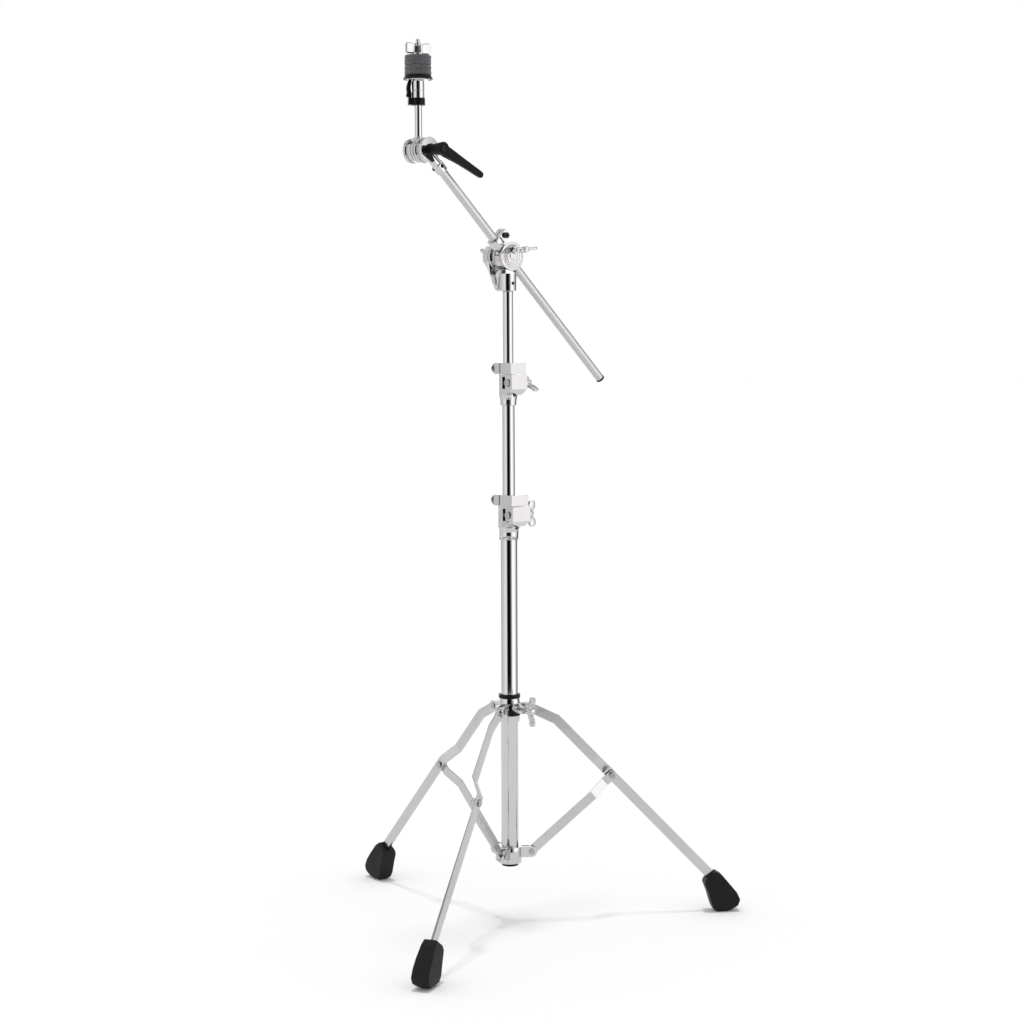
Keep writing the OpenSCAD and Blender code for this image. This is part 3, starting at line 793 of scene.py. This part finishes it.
def knurled_tube_tree():
    """Tube along local Z whose outside carries bands of diamond knurling with plain rings between."""
    tree, given = start_geometry("knurled tube", [
        ("Length", "NodeSocketFloat"), ("Radius", "NodeSocketFloat"), ("Bore", "NodeSocketFloat"),
        ("Diamonds", "NodeSocketFloat"), ("Pitch", "NodeSocketFloat"), ("Depth", "NodeSocketFloat"),
        ("Band", "NodeSocketFloat"), ("Plain Above", "NodeSocketFloat"), ("First Ring", "NodeSocketFloat"),
        ("Rows", "NodeSocketInt"), ("Sides", "NodeSocketInt"), ("Material", "NodeSocketMaterial")])
    grid = add(tree, "GeometryNodeMeshGrid", {
        "Size X": 1.0, "Size Y": 1.0, "Vertices X": given["Rows"], "Vertices Y": given["Sides"]})
    spot = add(tree, "ShaderNodeSeparateXYZ", {"Vector": add(tree, "GeometryNodeInputPosition").outputs[0]})
    angle = calc(tree, "MULTIPLY", spot.outputs["Y"], math.tau)
    height = calc(tree, "MULTIPLY", calc(tree, "ADD", spot.outputs["X"], 0.5), given["Length"])
    # two families of cosine ridges cross to make the diamonds
    around = calc(tree, "MULTIPLY", angle, given["Diamonds"])
    along = calc(tree, "MULTIPLY", calc(tree, "DIVIDE", height, given["Pitch"]), math.tau)
    left = calc(tree, "COSINE", calc(tree, "ADD", around, along))
    right = calc(tree, "COSINE", calc(tree, "SUBTRACT", around, along))
    ridge = calc(tree, "ADD", calc(tree, "MULTIPLY", calc(tree, "ADD", left, right), 0.25), 0.5)
    # plain rings repeat along the tube, and the upper end is plain
    phase = calc(tree, "PINGPONG", calc(tree, "SUBTRACT", height, given["First Ring"]),
                 calc(tree, "MULTIPLY", given["Band"], 0.5))
    banded = add(tree, "ShaderNodeMapRange", {
        "Value": phase, "From Min": 3.2 * MM, "From Max": 4.2 * MM}).outputs["Result"]
    below = add(tree, "ShaderNodeMapRange", {
        "Value": calc(tree, "SUBTRACT", given["Plain Above"], height), "From Min": 0.0, "From Max": 1.0 * MM})
    mask = calc(tree, "MULTIPLY", banded, below.outputs["Result"])
    swell = calc(tree, "MULTIPLY", calc(tree, "MULTIPLY", ridge, mask), given["Depth"])
    outer = calc(tree, "ADD", given["Radius"], swell)
    # the rows at both ends turn in to the bore
    edge = add(tree, "FunctionNodeCompare", {
        0: calc(tree, "ABSOLUTE", spot.outputs["X"]), 1: 0.49999},
        operation="GREATER_THAN", data_type="FLOAT")
    radius = add(tree, "GeometryNodeSwitch", {
        "Switch": edge.outputs[0], "False": outer, "True": given["Bore"]}, input_type="FLOAT").outputs[0]
    parts = []
    for size in (radius, given["Bore"]):
        point = add(tree, "ShaderNodeCombineXYZ", {
            "X": calc(tree, "MULTIPLY", size, calc(tree, "COSINE", angle)),
            "Y": calc(tree, "MULTIPLY", size, calc(tree, "SINE", angle)), "Z": height})
        source = grid if size is radius else add(tree, "GeometryNodeMeshGrid", {
            "Size X": 1.0, "Size Y": 1.0, "Vertices X": 2, "Vertices Y": given["Sides"]})
        moved = add(tree, "GeometryNodeSetPosition", {
            "Geometry": source.outputs["Mesh"], "Position": point.outputs[0]})
        parts.append(moved.outputs["Geometry"])
    outside = add(tree, "GeometryNodeFlipFaces", {"Mesh": parts[0]}).outputs["Mesh"]
    both = add(tree, "GeometryNodeJoinGeometry")
    tree.links.new(parts[1], both.inputs[0])
    tree.links.new(outside, both.inputs[0])
    welded = add(tree, "GeometryNodeMergeByDistance", {"Geometry": both.outputs[0], "Distance": 1e-6})
    finish_geometry(tree, welded.outputs["Geometry"], given["Material"])
    return tree


def thread_tree():
    """Screw thread: a ridge that winds up local Z."""
    tree, given = start_geometry("thread", [
        ("Turns", "NodeSocketFloat"), ("Radius", "NodeSocketFloat"), ("Height", "NodeSocketFloat"),
        ("Ridge", "NodeSocketFloat"), ("Material", "NodeSocketMaterial")])
    winding = add(tree, "GeometryNodeCurveSpiral", {
        "Resolution": 32, "Rotations": given["Turns"], "Start Radius": given["Radius"],
        "End Radius": given["Radius"], "Height": given["Height"]})
    profile = add(tree, "GeometryNodeCurvePrimitiveCircle", {"Resolution": 4, "Radius": given["Ridge"]})
    ridge = add(tree, "GeometryNodeCurveToMesh", {
        "Curve": winding.outputs["Curve"], "Profile Curve": profile.outputs["Curve"], "Fill Caps": True})
    finish_geometry(tree, ridge.outputs["Mesh"], given["Material"])
    return tree


def teeth_tree():
    """Ring of radial teeth, as between the two faces of a ratchet tilter."""
    tree, given = start_geometry("teeth", [
        ("Count", "NodeSocketInt"), ("Radius", "NodeSocketFloat"), ("Size", "NodeSocketVector"),
        ("Material", "NodeSocketMaterial")])
    circle = add(tree, "GeometryNodeMeshCircle", {"Vertices": given["Count"], "Radius": given["Radius"]})
    tooth = add(tree, "GeometryNodeMeshCube", {"Size": given["Size"]})
    spot = add(tree, "ShaderNodeSeparateXYZ", {"Vector": add(tree, "GeometryNodeInputPosition").outputs[0]})
    facing = calc(tree, "ARCTAN2", spot.outputs["Y"], spot.outputs["X"])
    spin = add(tree, "ShaderNodeCombineXYZ", {"Z": facing})
    ring_of = add(tree, "GeometryNodeInstanceOnPoints", {
        "Points": circle.outputs["Mesh"], "Instance": tooth.outputs["Mesh"], "Rotation": spin.outputs[0]})
    finish_geometry(tree, ring_of.outputs["Instances"], given["Material"])
    return tree


def put(thing, place):
    """Moves the mesh of a piece that was made at the origin."""
    thing.data.transform(place)
    return thing


def ratchet(name, count, radius, height, place, at, body):
    """Ring of ratchet teeth, sized in millimetres, at a distance along place's Z."""
    teeth = grown(name, teeth_tree(), {
        "Count": count, "Radius": radius * MM, "Size": (1.4 * MM, 1.1 * MM, height * MM),
        "Material": chrome_cast()})
    dress(put(teeth, place @ Matrix.Translation((0, 0, at * MM))), body, "chrome_casting", (), 30)


# ---- boom ----

class STAND_OT_boom(bpy.types.Operator):
    """Knurled boom tube with plain rings between its grip bands"""
    bl_idname = "stand.boom"
    bl_label = "Boom"

    def execute(self, context):
        axis = JOINTS["boom_slide"]["axis"]
        low, high, reach, _ = measured("boom_tube", boom_origin(), axis)
        place = axis_place(boom_origin() + Vector(axis) * low * MM, axis)
        pitch = sizes().knurl_pitch
        diamonds = round(math.tau * reach * MM / pitch)
        tube = grown("boom_tube_piece", knurled_tube_tree(), {
            "Length": (high - low) * MM, "Radius": reach * MM, "Bore": (reach - 1.4) * MM,
            "Diamonds": float(diamonds), "Pitch": pitch, "Depth": sizes().knurl_depth, "Band": 93 * MM,
            "Plain Above": (132 - low) * MM, "First Ring": (-low - 47) * MM,
            "Rows": int((high - low) * MM / (pitch / 4)), "Sides": 3 * diamonds + 1,
            "Material": chrome_knurl()})
        put(tube, place)
        dress(tube, BODY_OF["boom_tube"], "chrome_tube", ["boom_tube"], 0, chrome_knurl())
        return {"FINISHED"}


# ---- boom tilter ----

def grooved(outline, at, depth, width, radius):
    """Adds a square groove at a height of a straight stretch of an outline."""
    groove = [(radius, at - width / 2), (radius - depth, at - width / 2 + 0.1),
              (radius - depth, at + width / 2 - 0.1), (radius, at + width / 2)]
    k = next(i for i, (_, z) in enumerate(outline) if z > at)
    return outline[:k] + groove + outline[k:]


class STAND_OT_boom_tilter(bpy.types.Operator):
    """Tilter drum, its ringed front disc, the ratchet teeth and the memory window"""
    bl_idname = "stand.boom_tilter"
    bl_label = "Boom Tilter"

    def execute(self, context):
        origin, axis = pivot("boom_tilt")
        place = axis_place(origin, axis, (0, 0, 1))
        made = bmesh.new()
        back = disc(19, -22.2, -18, 0.8)
        waist = grooved(disc(16.5, -18.4, -9.6, 0.3), -14, 0.7, 1.2, 16.5)
        front = disc(19.5, -10, 8, 1.0)
        for at in (-6.5, 5.0):
            front = grooved(front, at, 0.6, 0.9, 19.5)
        for outline in (back, waist, front):
            turned(made, outline, place, 96)
        piece("tilter_drum_piece", made, "tilter", "chrome_casting", ["tilter_drum"], 30)
        # front disc: a stepped face with raised rings
        face = [(CORE, 8.1)] + rounded_corner(20.2, 8.9, 0.8, -90, 0)
        face += rounded_corner(20.0, 10.2, 0.9, 0, 90)
        for r in (17.0, 13.6, 10.2):
            face += [(r + 0.9, 11.1), (r + 0.6, 12.0), (r - 0.6, 12.0),
                     (r - 0.9, 11.3)]
        face += [(6.0, 11.3), (5.2, 12.2), (CORE, 12.2)]
        lathed("clamp_disc_piece", face, place, "tilter", "chrome_casting", ["clamp_disc"], 96)
        ratchet("tilter_teeth", 48, 18.1, 0.24, place, -22.35, "tilter")
        # black window in the drum, on the side away from the boom screw
        side = place.to_3x3() @ Vector((0.25, 1.0, 0.0)).normalized()
        window = axis_place(origin - axis * 1.0 * MM + side * 18.3 * MM, side, axis)
        made = bmesh.new()
        rings = [section(made, window @ Matrix.Translation((0, 0, z * MM)), w * MM, w * MM, power=7)
                 for z, w in ((0, 4.4), (1.3, 4.4), (1.6, 4.1), (1.2, 3.4), (0.7, 3.2))]
        skin(made, rings)
        lid(made, rings[0], up=False)
        lid(made, rings[-1], up=True)
        piece("tilter_window", made, "tilter", "black_nylon", (), 35)
        return {"FINISHED"}


# ---- cymbal tilter ----

def rod_place():
    """The cymbal rod's upright axis, with its heights measured from the floor."""
    origin, _ = pivot("wing_nut_turn")
    return axis_place((origin.x, origin.y, 0), (0, 0, 1))


class STAND_OT_cymbal_tilter(bpy.types.Operator):
    """Both halves of the cymbal tilter, the boom ferrule, the rod with its boss and the ratchet teeth"""
    bl_idname = "stand.cymbal_tilter"
    bl_label = "Cymbal Tilter"

    def execute(self, context):
        origin, axis = pivot("head_tilt")
        middle = origin + axis * 14 * MM
        place = axis_place(middle, axis, (0, 0, 1))
        made = bmesh.new()
        cap = [(CORE, -31.5), (11.4, -31.5), (12.4, -31.2)]
        cap += [(16.4, -28.9)] + rounded_corner(16.7, -27.6, 0.8, -60, 0)
        cap += rounded_corner(16.7, -24.8, 0.8, 0, 90) + [(CORE, -24)]
        turned(made, cap, place, 96)
        drum = disc(16, -24.4, -11.6, 0.3)
        for at in (-21.5, -14.5):
            drum = grooved(drum, at, 0.8, 1.0, 16)
        turned(made, drum, place, 96)
        turned(made, disc(18, -12, -8.1, 0.8), place, 96)
        rod = JOINTS["wing_nut_turn"]["pos_m"]
        boss = axis_place((rod[0], rod[1], middle.z), (0, 0, 1))
        outline = [(CORE, 8), (8.4, 8), (8.2, 15.5)]
        outline += rounded_corner(7.0, 17.4, 0.9, 0, 90) + [(CORE, 18.3)]
        turned(made, outline, boss, 64)
        piece("head_half_piece", made, "head", "chrome_casting", ["head_half"], 30)

        made = bmesh.new()
        turned(made, disc(18, -7.4, -3.5, 0.8), place, 96)
        turned(made, grooved(disc(16.6, -3.9, 4.4, 0.3), 0.3, 0.8, 1.4, 16.6),
               place, 96)
        turned(made, disc(18, 4, 8.5, 0.9), place, 96)
        ferrule = axis_place(boom_origin(), JOINTS["boom_slide"]["axis"])
        outline = [(6.38, 167)] + rounded_corner(8.3, 167.8, 0.8, -90, 0)
        outline += [(9.1, 180.2), (8.5, 181.0), (7.9, 181.6), (7.9, 196)]
        outline += [(6.38, 196), (6.38, 167)]
        turned(made, outline, ferrule, 64)
        piece("head_ferrule_piece", made, "boom", "chrome_casting", ["head_ferrule"], 30)
        ratchet("head_teeth", 44, 17.2, 0.5, place, -7.65, "boom")

        low, high, _, _ = measured("cymbal_rod", rod, (0, 0, 1))
        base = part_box("sleeve_base")[0].z / MM
        floor = rod[2] / MM + low
        top = rod[2] / MM + high
        outline = [(CORE, floor), (5.4, floor), (5.4, base), (4.0, base + 0.2),
                   (4.0, top - 5), (3.4, top - 4.2), (3.0, top - 4),
                   (3.0, top - 0.8), (2.4, top), (CORE, top)]
        lathed("cymbal_rod_piece", outline, rod_place(), "head", "chrome_tube", ["cymbal_rod"])
        return {"FINISHED"}


class STAND_OT_lever(bpy.types.Operator):
    """Clamping lever: ribbed hub, elbow with a recessed screw, and a tapered arm"""
    bl_idname = "stand.lever"
    bl_label = "Clamping Lever"

    def execute(self, context):
        origin, axis = pivot("head_lever_turn")
        hub_low, _, _, way = measured("head_lever", origin, axis)
        place = axis_place(origin, axis, way)
        far = sorted(corners("head_lever"), key=lambda p: ((p - origin).cross(axis)).length)[-60:]
        tip = sum(far, Vector()) / len(far)
        hub_high = hub_low + 28
        made = bmesh.new()
        outline = [(CORE, hub_low)] + rounded_corner(7.9, hub_low + 0.6, 0.6, -90, 0)
        outline += [(8.5, hub_low + 1.8), (7.3, hub_low + 2.2), (7.4, hub_low + 9),
                    (8.6, hub_low + 17), (9.2, hub_high - 5)]
        outline += rounded_corner(6.8, hub_high - 2.4, 2.4, 0, 90, 5)
        outline += [(5.6, hub_high), (5.2, hub_high - 0.9), (CORE, hub_high - 0.9)]
        turned(made, outline, place, 64)
        root = origin + axis * (hub_high - 9.0) * MM
        arm = tip - root
        lift = axis * 1.5 * MM
        stations = [(root + arm * t + lift * k, w * MM, h * MM) for t, k, w, h in (
            (0.0, 0.0, 6.4, 6.6), (0.1, 0.6, 7.2, 7.6), (0.2, 1.0, 7.0, 7.2), (0.4, 1.2, 5.8, 6.2),
            (0.65, 0.9, 5.0, 5.4), (0.88, 0.3, 4.6, 4.9), (0.99, 0.0, 4.2, 4.4), (1.03, 0.0, 2.8, 3.0),
            (1.045, 0.0, 1.0, 1.0))]
        lofted(made, smooth_stations(stations), axis, power=3.0)
        piece("head_lever_piece", made, "head_lever", "black_lever", ["head_lever"], 45)
        # recessed screw in the elbow
        outline = disc(4.6, hub_high - 1.6, hub_high - 0.3, 0.5)[:-1]
        outline += [(2.4, hub_high - 0.3), (2.2, hub_high - 1.2), (CORE, hub_high - 1.2)]
        lathed("lever_screw", outline, place, "head_lever", "black_screw", (), 36, 35)
        return {"FINISHED"}


# ---- cymbal seat ----

class STAND_OT_seat(bpy.types.Operator):
    """Seat cup, chrome sleeve with its washer, and the moulded base"""
    bl_idname = "stand.seat"
    bl_label = "Cymbal Seat"

    def execute(self, context):
        rod = JOINTS["wing_nut_turn"]["pos_m"]
        low, high = (p.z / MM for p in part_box("seat_cup"))
        cup_r = measured("seat_cup", rod, (0, 0, 1))[2]
        outline = [(5.7, low + 0.8), (cup_r - 1.4, low + 0.3), (cup_r - 0.9, low)]
        outline += rounded_corner(cup_r - 0.6, low + 0.6, 0.6, -90, 60, 4)
        outline += [(cup_r - 1.9, high - 1.0), (cup_r - 2.3, high), (5.7, high),
                    (5.7, low + 0.8)]
        lathed("seat_cup_piece", outline, rod_place(), "head", "black_nylon", ["seat_cup"], 96)

        base_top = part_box("sleeve_base")[1].z / MM
        top = low + 0.7
        outline = [(4.02, base_top), (9.0, base_top), (9.0, base_top + 9)]
        outline += [(8.5, base_top + 9.3), (8.5, base_top + 10.4), (9.0, base_top + 10.7)]
        outline += [(9.0, top - 3.2), (15.0, top - 1.2), (15.4, top - 0.4), (5.6, top)]
        felt_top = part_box("felt_upper")[1].z / MM
        outline += [(5.6, felt_top), (4.02, felt_top), (4.02, base_top)]
        lathed("cymbal_sleeve_piece", outline, rod_place(), "head", "chrome_casting", ["cymbal_sleeve"])
        rounded("sleeve_base", 1.2 * MM, 3)
        return {"FINISHED"}


class STAND_OT_felts(bpy.types.Operator):
    """Two felts, each pressed from layers, with a matted and slightly uneven surface"""
    bl_idname = "stand.felts"
    bl_label = "Felts"

    def execute(self, context):
        rod = JOINTS["wing_nut_turn"]["pos_m"]
        for name, layers in (("felt_lower", 2), ("felt_upper", 3)):
            low, high = (p.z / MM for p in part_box(name))
            radius = measured(name, rod, (0, 0, 1))[2]
            rows = 46
            outline = [(5.7, low), (9, low), (13, low), (radius - 1.6, low)]
            for i in range(rows + 1):
                t = i / rows
                # each layer bulges between its seams, and the rims round over
                seam = abs(math.sin(math.pi * t * layers)) ** 0.35
                rim = min(t, 1 - t) * (high - low) / 1.6
                inset = 1.3 * (1 - seam) + 1.1 * max(0.0, 1 - rim) ** 2
                outline.append((radius - 0.25 - inset, low + (high - low) * t))
            outline += [(radius - 1.6, high), (13, high), (9, high), (5.7, high)]
            outline += [(5.7, low)]
            made = turned(bmesh.new(), outline, rod_place(), 160)
            for vert in made.verts:
                out = Vector((vert.co.x - rod[0], vert.co.y - rod[1], 0))
                if out.length > (radius - 4) * MM:
                    bump = 0.16 * noise.noise(vert.co / (1.3 * MM)) + 0.22 * noise.noise(vert.co / (6 * MM))
                    vert.co += out.normalized() * (bump - 0.1) * MM
            piece(name + "_piece", made, "head", "felt", [name], 0)
        return {"FINISHED"}


# ---- wing screws ----

def ear(made, place, sign, rows, power):
    """One ear through rows of distance out, height, half thickness and half height, all in mm."""
    stations = [(place @ Vector((sign * x * MM, 0, z * MM)), w * MM, h * MM) for x, z, w, h in rows]
    lofted(made, smooth_stations(stations, 4), place.to_3x3() @ Vector((0, 1, 0)), power=power)


def cast_wing(made, place, hub_r, hub_l, half, lean, lobe=5.0):
    """Hub with two cast ears: rounded paddles that thicken towards their tips."""
    outline = [(CORE, 0.0)] + rounded_corner(hub_r - 0.7, 0.7, 0.7, -90, 0)
    outline += [(hub_r - 0.1, 0.45 * hub_l)]
    outline += rounded_corner(hub_r - 2.2, hub_l - 2.0, 2.0, 10, 90, 4)
    outline += [(CORE, hub_l)]
    turned(made, outline, place, 48)
    tip = hub_l - 4.5 + lean
    for sign in (1, -1):
        rows = [(0.3 * hub_r, 0.46 * hub_l, 3.6, 0.36 * hub_l),
                (hub_r + 0.5, 0.52 * hub_l, 3.0, 0.34 * hub_l),
                (0.5 * (hub_r + half - lobe), 0.5 * (0.5 * hub_l + tip), 2.6, 0.84 * lobe),
                (half - 1.3 * lobe, tip - 0.3, 2.5, 0.97 * lobe), (half - 0.8 * lobe, tip, 2.7, lobe),
                (half - 0.3 * lobe, tip + 0.2, 2.7, 0.86 * lobe),
                (half - 0.06 * lobe, tip + 0.3, 2.0, 0.56 * lobe),
                (half, tip + 0.3, 0.6, 0.2 * lobe)]
        ear(made, place, sign, rows, 2.5)


WINGS = {
    # node: joint, hub radius, hub length, lean of the ears, radius of an ear's end
    "lower_clamp_wing": ("lower_wing_turn", 6.0, 15.0, 4.0, 6.6),
    "upper_clamp_wing": ("upper_wing_turn", 6.0, 15.0, 4.0, 6.6),
    "tilter_wing": ("tilter_wing_turn", 5.5, 12.0, 2.0, 5.6),
    "boom_screw": ("boom_screw_turn", 4.8, 15.0, -1.0, 5.4),
    "collar_screw": ("collar_screw_turn", 5.2, 14.0, 2.0, 6.2),
}


class STAND_OT_wings(bpy.types.Operator):
    """Cast wing screws and the wing nut"""
    bl_idname = "stand.wings"
    bl_label = "Wing Screws"

    def execute(self, context):
        for name, (joint, hub_r, hub_l, lean, lobe) in WINGS.items():
            origin, axis = pivot(joint)
            low, high, reach, way = measured(name, origin, axis)
            base = high - max(hub_l, hub_l + lean + 1.5)
            place = axis_place(origin + axis * base * MM, axis, way)
            made = bmesh.new()
            cast_wing(made, place, hub_r, hub_l, reach, lean, lobe)
            if low < base - 1:
                stem = [(CORE, low - base), (2.75, low - base), (2.75, 1), (CORE, 1)]
                turned(made, stem, place, 32)
                collar = 25.4 - 43 if name == "collar_screw" else -11.5
                flange = [(2.8, 0.0), (5.3, 0.0), (5.8, 0.5), (5.8, 1.9), (5.3, 2.4), (2.8, 2.4), (2.8, 0.0)]
                turned(made, [(r, z + collar) for r, z in flange], place, 48)
            piece(name + "_piece", made, BODY_OF[name], SLOT_OF[name], [name], 40)
        self.nut()
        return {"FINISHED"}

    def nut(self):
        """Wing nut with two broad upright ears."""
        origin, _ = pivot("wing_nut_turn")
        low, _, half, way = measured("wing_nut", origin, (0, 0, 1))
        place = axis_place(origin + Vector((0, 0, low * MM)), (0, 0, 1), way)
        turned_ears = place @ Matrix.Rotation(math.radians(16), 4, "Z")
        made = bmesh.new()
        outline = [(4.1, 0.0)] + rounded_corner(7.7, 0.7, 0.7, -90, 0)
        outline += [(8.4, 2.2), (7.0, 3.0), (4.1, 3.0), (4.1, 0.0)]
        turned(made, outline, place, 64)
        hub = [section(made, place @ Matrix.Translation((0, 0, z * MM)), w * MM, 0.92 * w * MM, 48, 5.0)
               for z, w in ((2.6, 7.0), (11.6, 6.4), (12.6, 6.1), (13.0, 5.4), (13.0, 4.1), (2.6, 4.1))]
        skin(made, hub + hub[:1])
        for sign in (1, -1):
            rows = [(5.0, 8.0, 2.6, 6.2), (8.0, 8.4, 2.4, 7.0), (11.0, 9.0, 2.3, 7.5), (14.0, 9.2, 2.4, 7.6),
                    (half - 1.6, 9.3, 2.5, 7.2), (half - 0.4, 9.3, 1.9, 5.8), (half, 9.3, 0.6, 3.4)]
            ear(made, turned_ears, sign, rows, 4.0)
        piece("wing_nut_piece", made, "wing_nut", "chrome_wing", ["wing_nut"], 40)


class STAND_OT_threads(bpy.types.Operator):
    """Threads where screws stand clear of what they hold"""
    bl_idname = "stand.threads"
    bl_label = "Threads"

    def execute(self, context):
        tree = thread_tree()
        rod, _ = pivot("wing_nut_turn")
        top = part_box("cymbal_rod")[1].z
        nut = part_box("wing_nut")[0].z
        self.wind(tree, "rod_thread", (rod.x, rod.y, nut), (0, 0, 1),
                  top - 4.6 * MM - nut, 3.9, 1.25, "head", "chrome_tube")
        for node, hub, length in (("collar_screw", 16.5, 14.6), ("boom_screw", 15.0, 8.6)):
            origin, axis = pivot(node + "_turn")
            base = measured(node, origin, axis)[1] - hub
            start = origin + axis * (base - length) * MM
            self.wind(tree, node + "_thread", start, axis, length * MM, 2.75, 1.0,
                      BODY_OF[node], "chrome_wing")
        return {"FINISHED"}

    def wind(self, tree, name, origin, axis, length, radius, pitch, body, slot):
        """One thread of the given outer radius and pitch in millimetres."""
        made = grown(name, tree, {
            "Turns": length / (pitch * MM), "Radius": radius * MM - 0.1 * MM, "Height": length,
            "Ridge": 0.36 * pitch * MM, "Material": zinc_plate()})
        dress(put(made, axis_place(origin, axis)), body, slot, (), 30, zinc_plate())


# ---- boots and set screws ----

class STAND_OT_boots(bpy.types.Operator):
    """Rubber boots, moulded over the ends of the legs, and the collar's black band"""
    bl_idname = "stand.boots"
    bl_label = "Boots"

    def execute(self, context):
        for i in (1, 2, 3):
            rounded(f"foot_{i}", 2.6 * MM, 4)
        lug = JOINTS["hip_1"]["pos_m"][2] / MM
        outline = [(15.2, lug - 10)] + rounded_corner(15.5, lug - 9.5, 0.5, -90, 0)
        outline += rounded_corner(15.5, lug + 5.5, 0.5, 0, 90) + [(15.2, lug + 6)]
        outline += [(15.2, lug - 10)]
        lathed("collar_band", outline, Matrix.Identity(4), "collar", "black_nylon", (), 96)
        return {"FINISHED"}


class STAND_OT_lock_screws(bpy.types.Operator):
    """Flanged heads of the key screws that hold the memory locks"""
    bl_idname = "stand.lock_screws"
    bl_label = "Lock Screw Heads"

    def execute(self, context):
        for name in ("lower_lock_screw", "upper_lock_screw"):
            points = corners(name)
            longest = heading(-50)
            start = min(points, key=lambda p: p.dot(longest))
            head = [p for p in points if p.dot(longest) < start.dot(longest) + 2 * MM]
            middle = sum(head, Vector()) / len(head)
            place = axis_place(middle, -longest)
            outline = [(CORE, -7.2), (6.2, -7.2), (6.9, -6.6), (6.9, -5.6),
                       (6.2, -4.9), (4.2, -4.5), (4.0, -2.4), (CORE, -2.4)]
            lathed(name + "_flange", outline, place, BODY_OF[name], "zinc_screw")
        return {"FINISHED"}


class STAND_OT_set_screws(bpy.types.Operator):
    """Small black socket set screws in the castings"""
    bl_idname = "stand.set_screws"
    bl_label = "Set Screws"

    def execute(self, context):
        axis = JOINTS["boom_slide"]["axis"]
        boom = axis_place(boom_origin(), axis, (0, 0, -1)).to_3x3()
        spots = []
        for along, turn in ((176.2, 88), (178, 350)):
            out = boom @ heading(turn)
            spots.append(("boom", boom_origin() + Vector(axis) * along * MM + out * 9.05 * MM, out))
        for body, node, height, turn in (("upper", "tilter_socket", 10.8, -52.5),
                                         ("mid", "upper_clamp", 14.5, -50),
                                         ("base", "lower_clamp", 17.5, -44.7)):
            out = heading(turn)
            start = Vector((0, 0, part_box(node)[0].z + height * MM)) + out * 60 * MM
            shape = merged(node)
            spot = BVHTree.FromBMesh(shape).ray_cast(start, -out)[0]
            shape.free()
            spots.append((body, spot, out))
        for i, (body, spot, out) in enumerate(spots):
            place = axis_place(spot, out)
            outline = [(CORE, -2.0), (2.5, -2.0), (2.5, 0.3), (2.2, 0.6),
                       (1.4, 0.6), (1.3, 0.2), (CORE, 0.2)]
            lathed(f"set_screw_{i + 1}", outline, place, body, "black_screw", (), 32)
        return {"FINISHED"}


class STAND_PT_panel(bpy.types.Panel):
    """Sizes, colours and the pieces to make"""
    bl_idname = "STAND_PT_panel"
    bl_label = "Cymbal Boom Stand"
    bl_space_type = "VIEW_3D"
    bl_region_type = "UI"
    bl_category = "Stand"

    def draw(self, context):
        for group in (context.scene.stand_sizes, context.scene.stand_colours):
            for name in group.bl_rna.properties.keys():
                if name not in ("rna_type", "name"):
                    self.layout.prop(group, name)
        for operator in OPERATORS:
            self.layout.operator(operator.bl_idname)


OPERATORS = (
    STAND_OT_stage, STAND_OT_tubes, STAND_OT_boom, STAND_OT_castings, STAND_OT_strips, STAND_OT_screws,
    STAND_OT_boom_tilter, STAND_OT_cymbal_tilter, STAND_OT_lever, STAND_OT_seat, STAND_OT_felts,
    STAND_OT_wings, STAND_OT_threads, STAND_OT_boots, STAND_OT_lock_screws,
    STAND_OT_set_screws)
CLASSES = (StandColours, StandSizes) + OPERATORS + (STAND_PT_panel,)


def register():
    for cls in CLASSES:
        bpy.utils.register_class(cls)
    bpy.types.Scene.stand_colours = PointerProperty(type=StandColours)
    bpy.types.Scene.stand_sizes = PointerProperty(type=StandSizes)


def unregister():
    del bpy.types.Scene.stand_sizes
    del bpy.types.Scene.stand_colours
    for cls in reversed(CLASSES):
        bpy.utils.unregister_class(cls)


def main():
    register()
    for operator in OPERATORS:
        group, name = operator.bl_idname.split(".")
        getattr(getattr(bpy.ops, group), name)()
    for name, thing in NODES.items():
        if not thing.hide_render:
            thing.data.materials.clear()
            thing.data.materials.append(FINISHES[SLOT_OF[name]]())


if __name__ == "__main__":
    main()
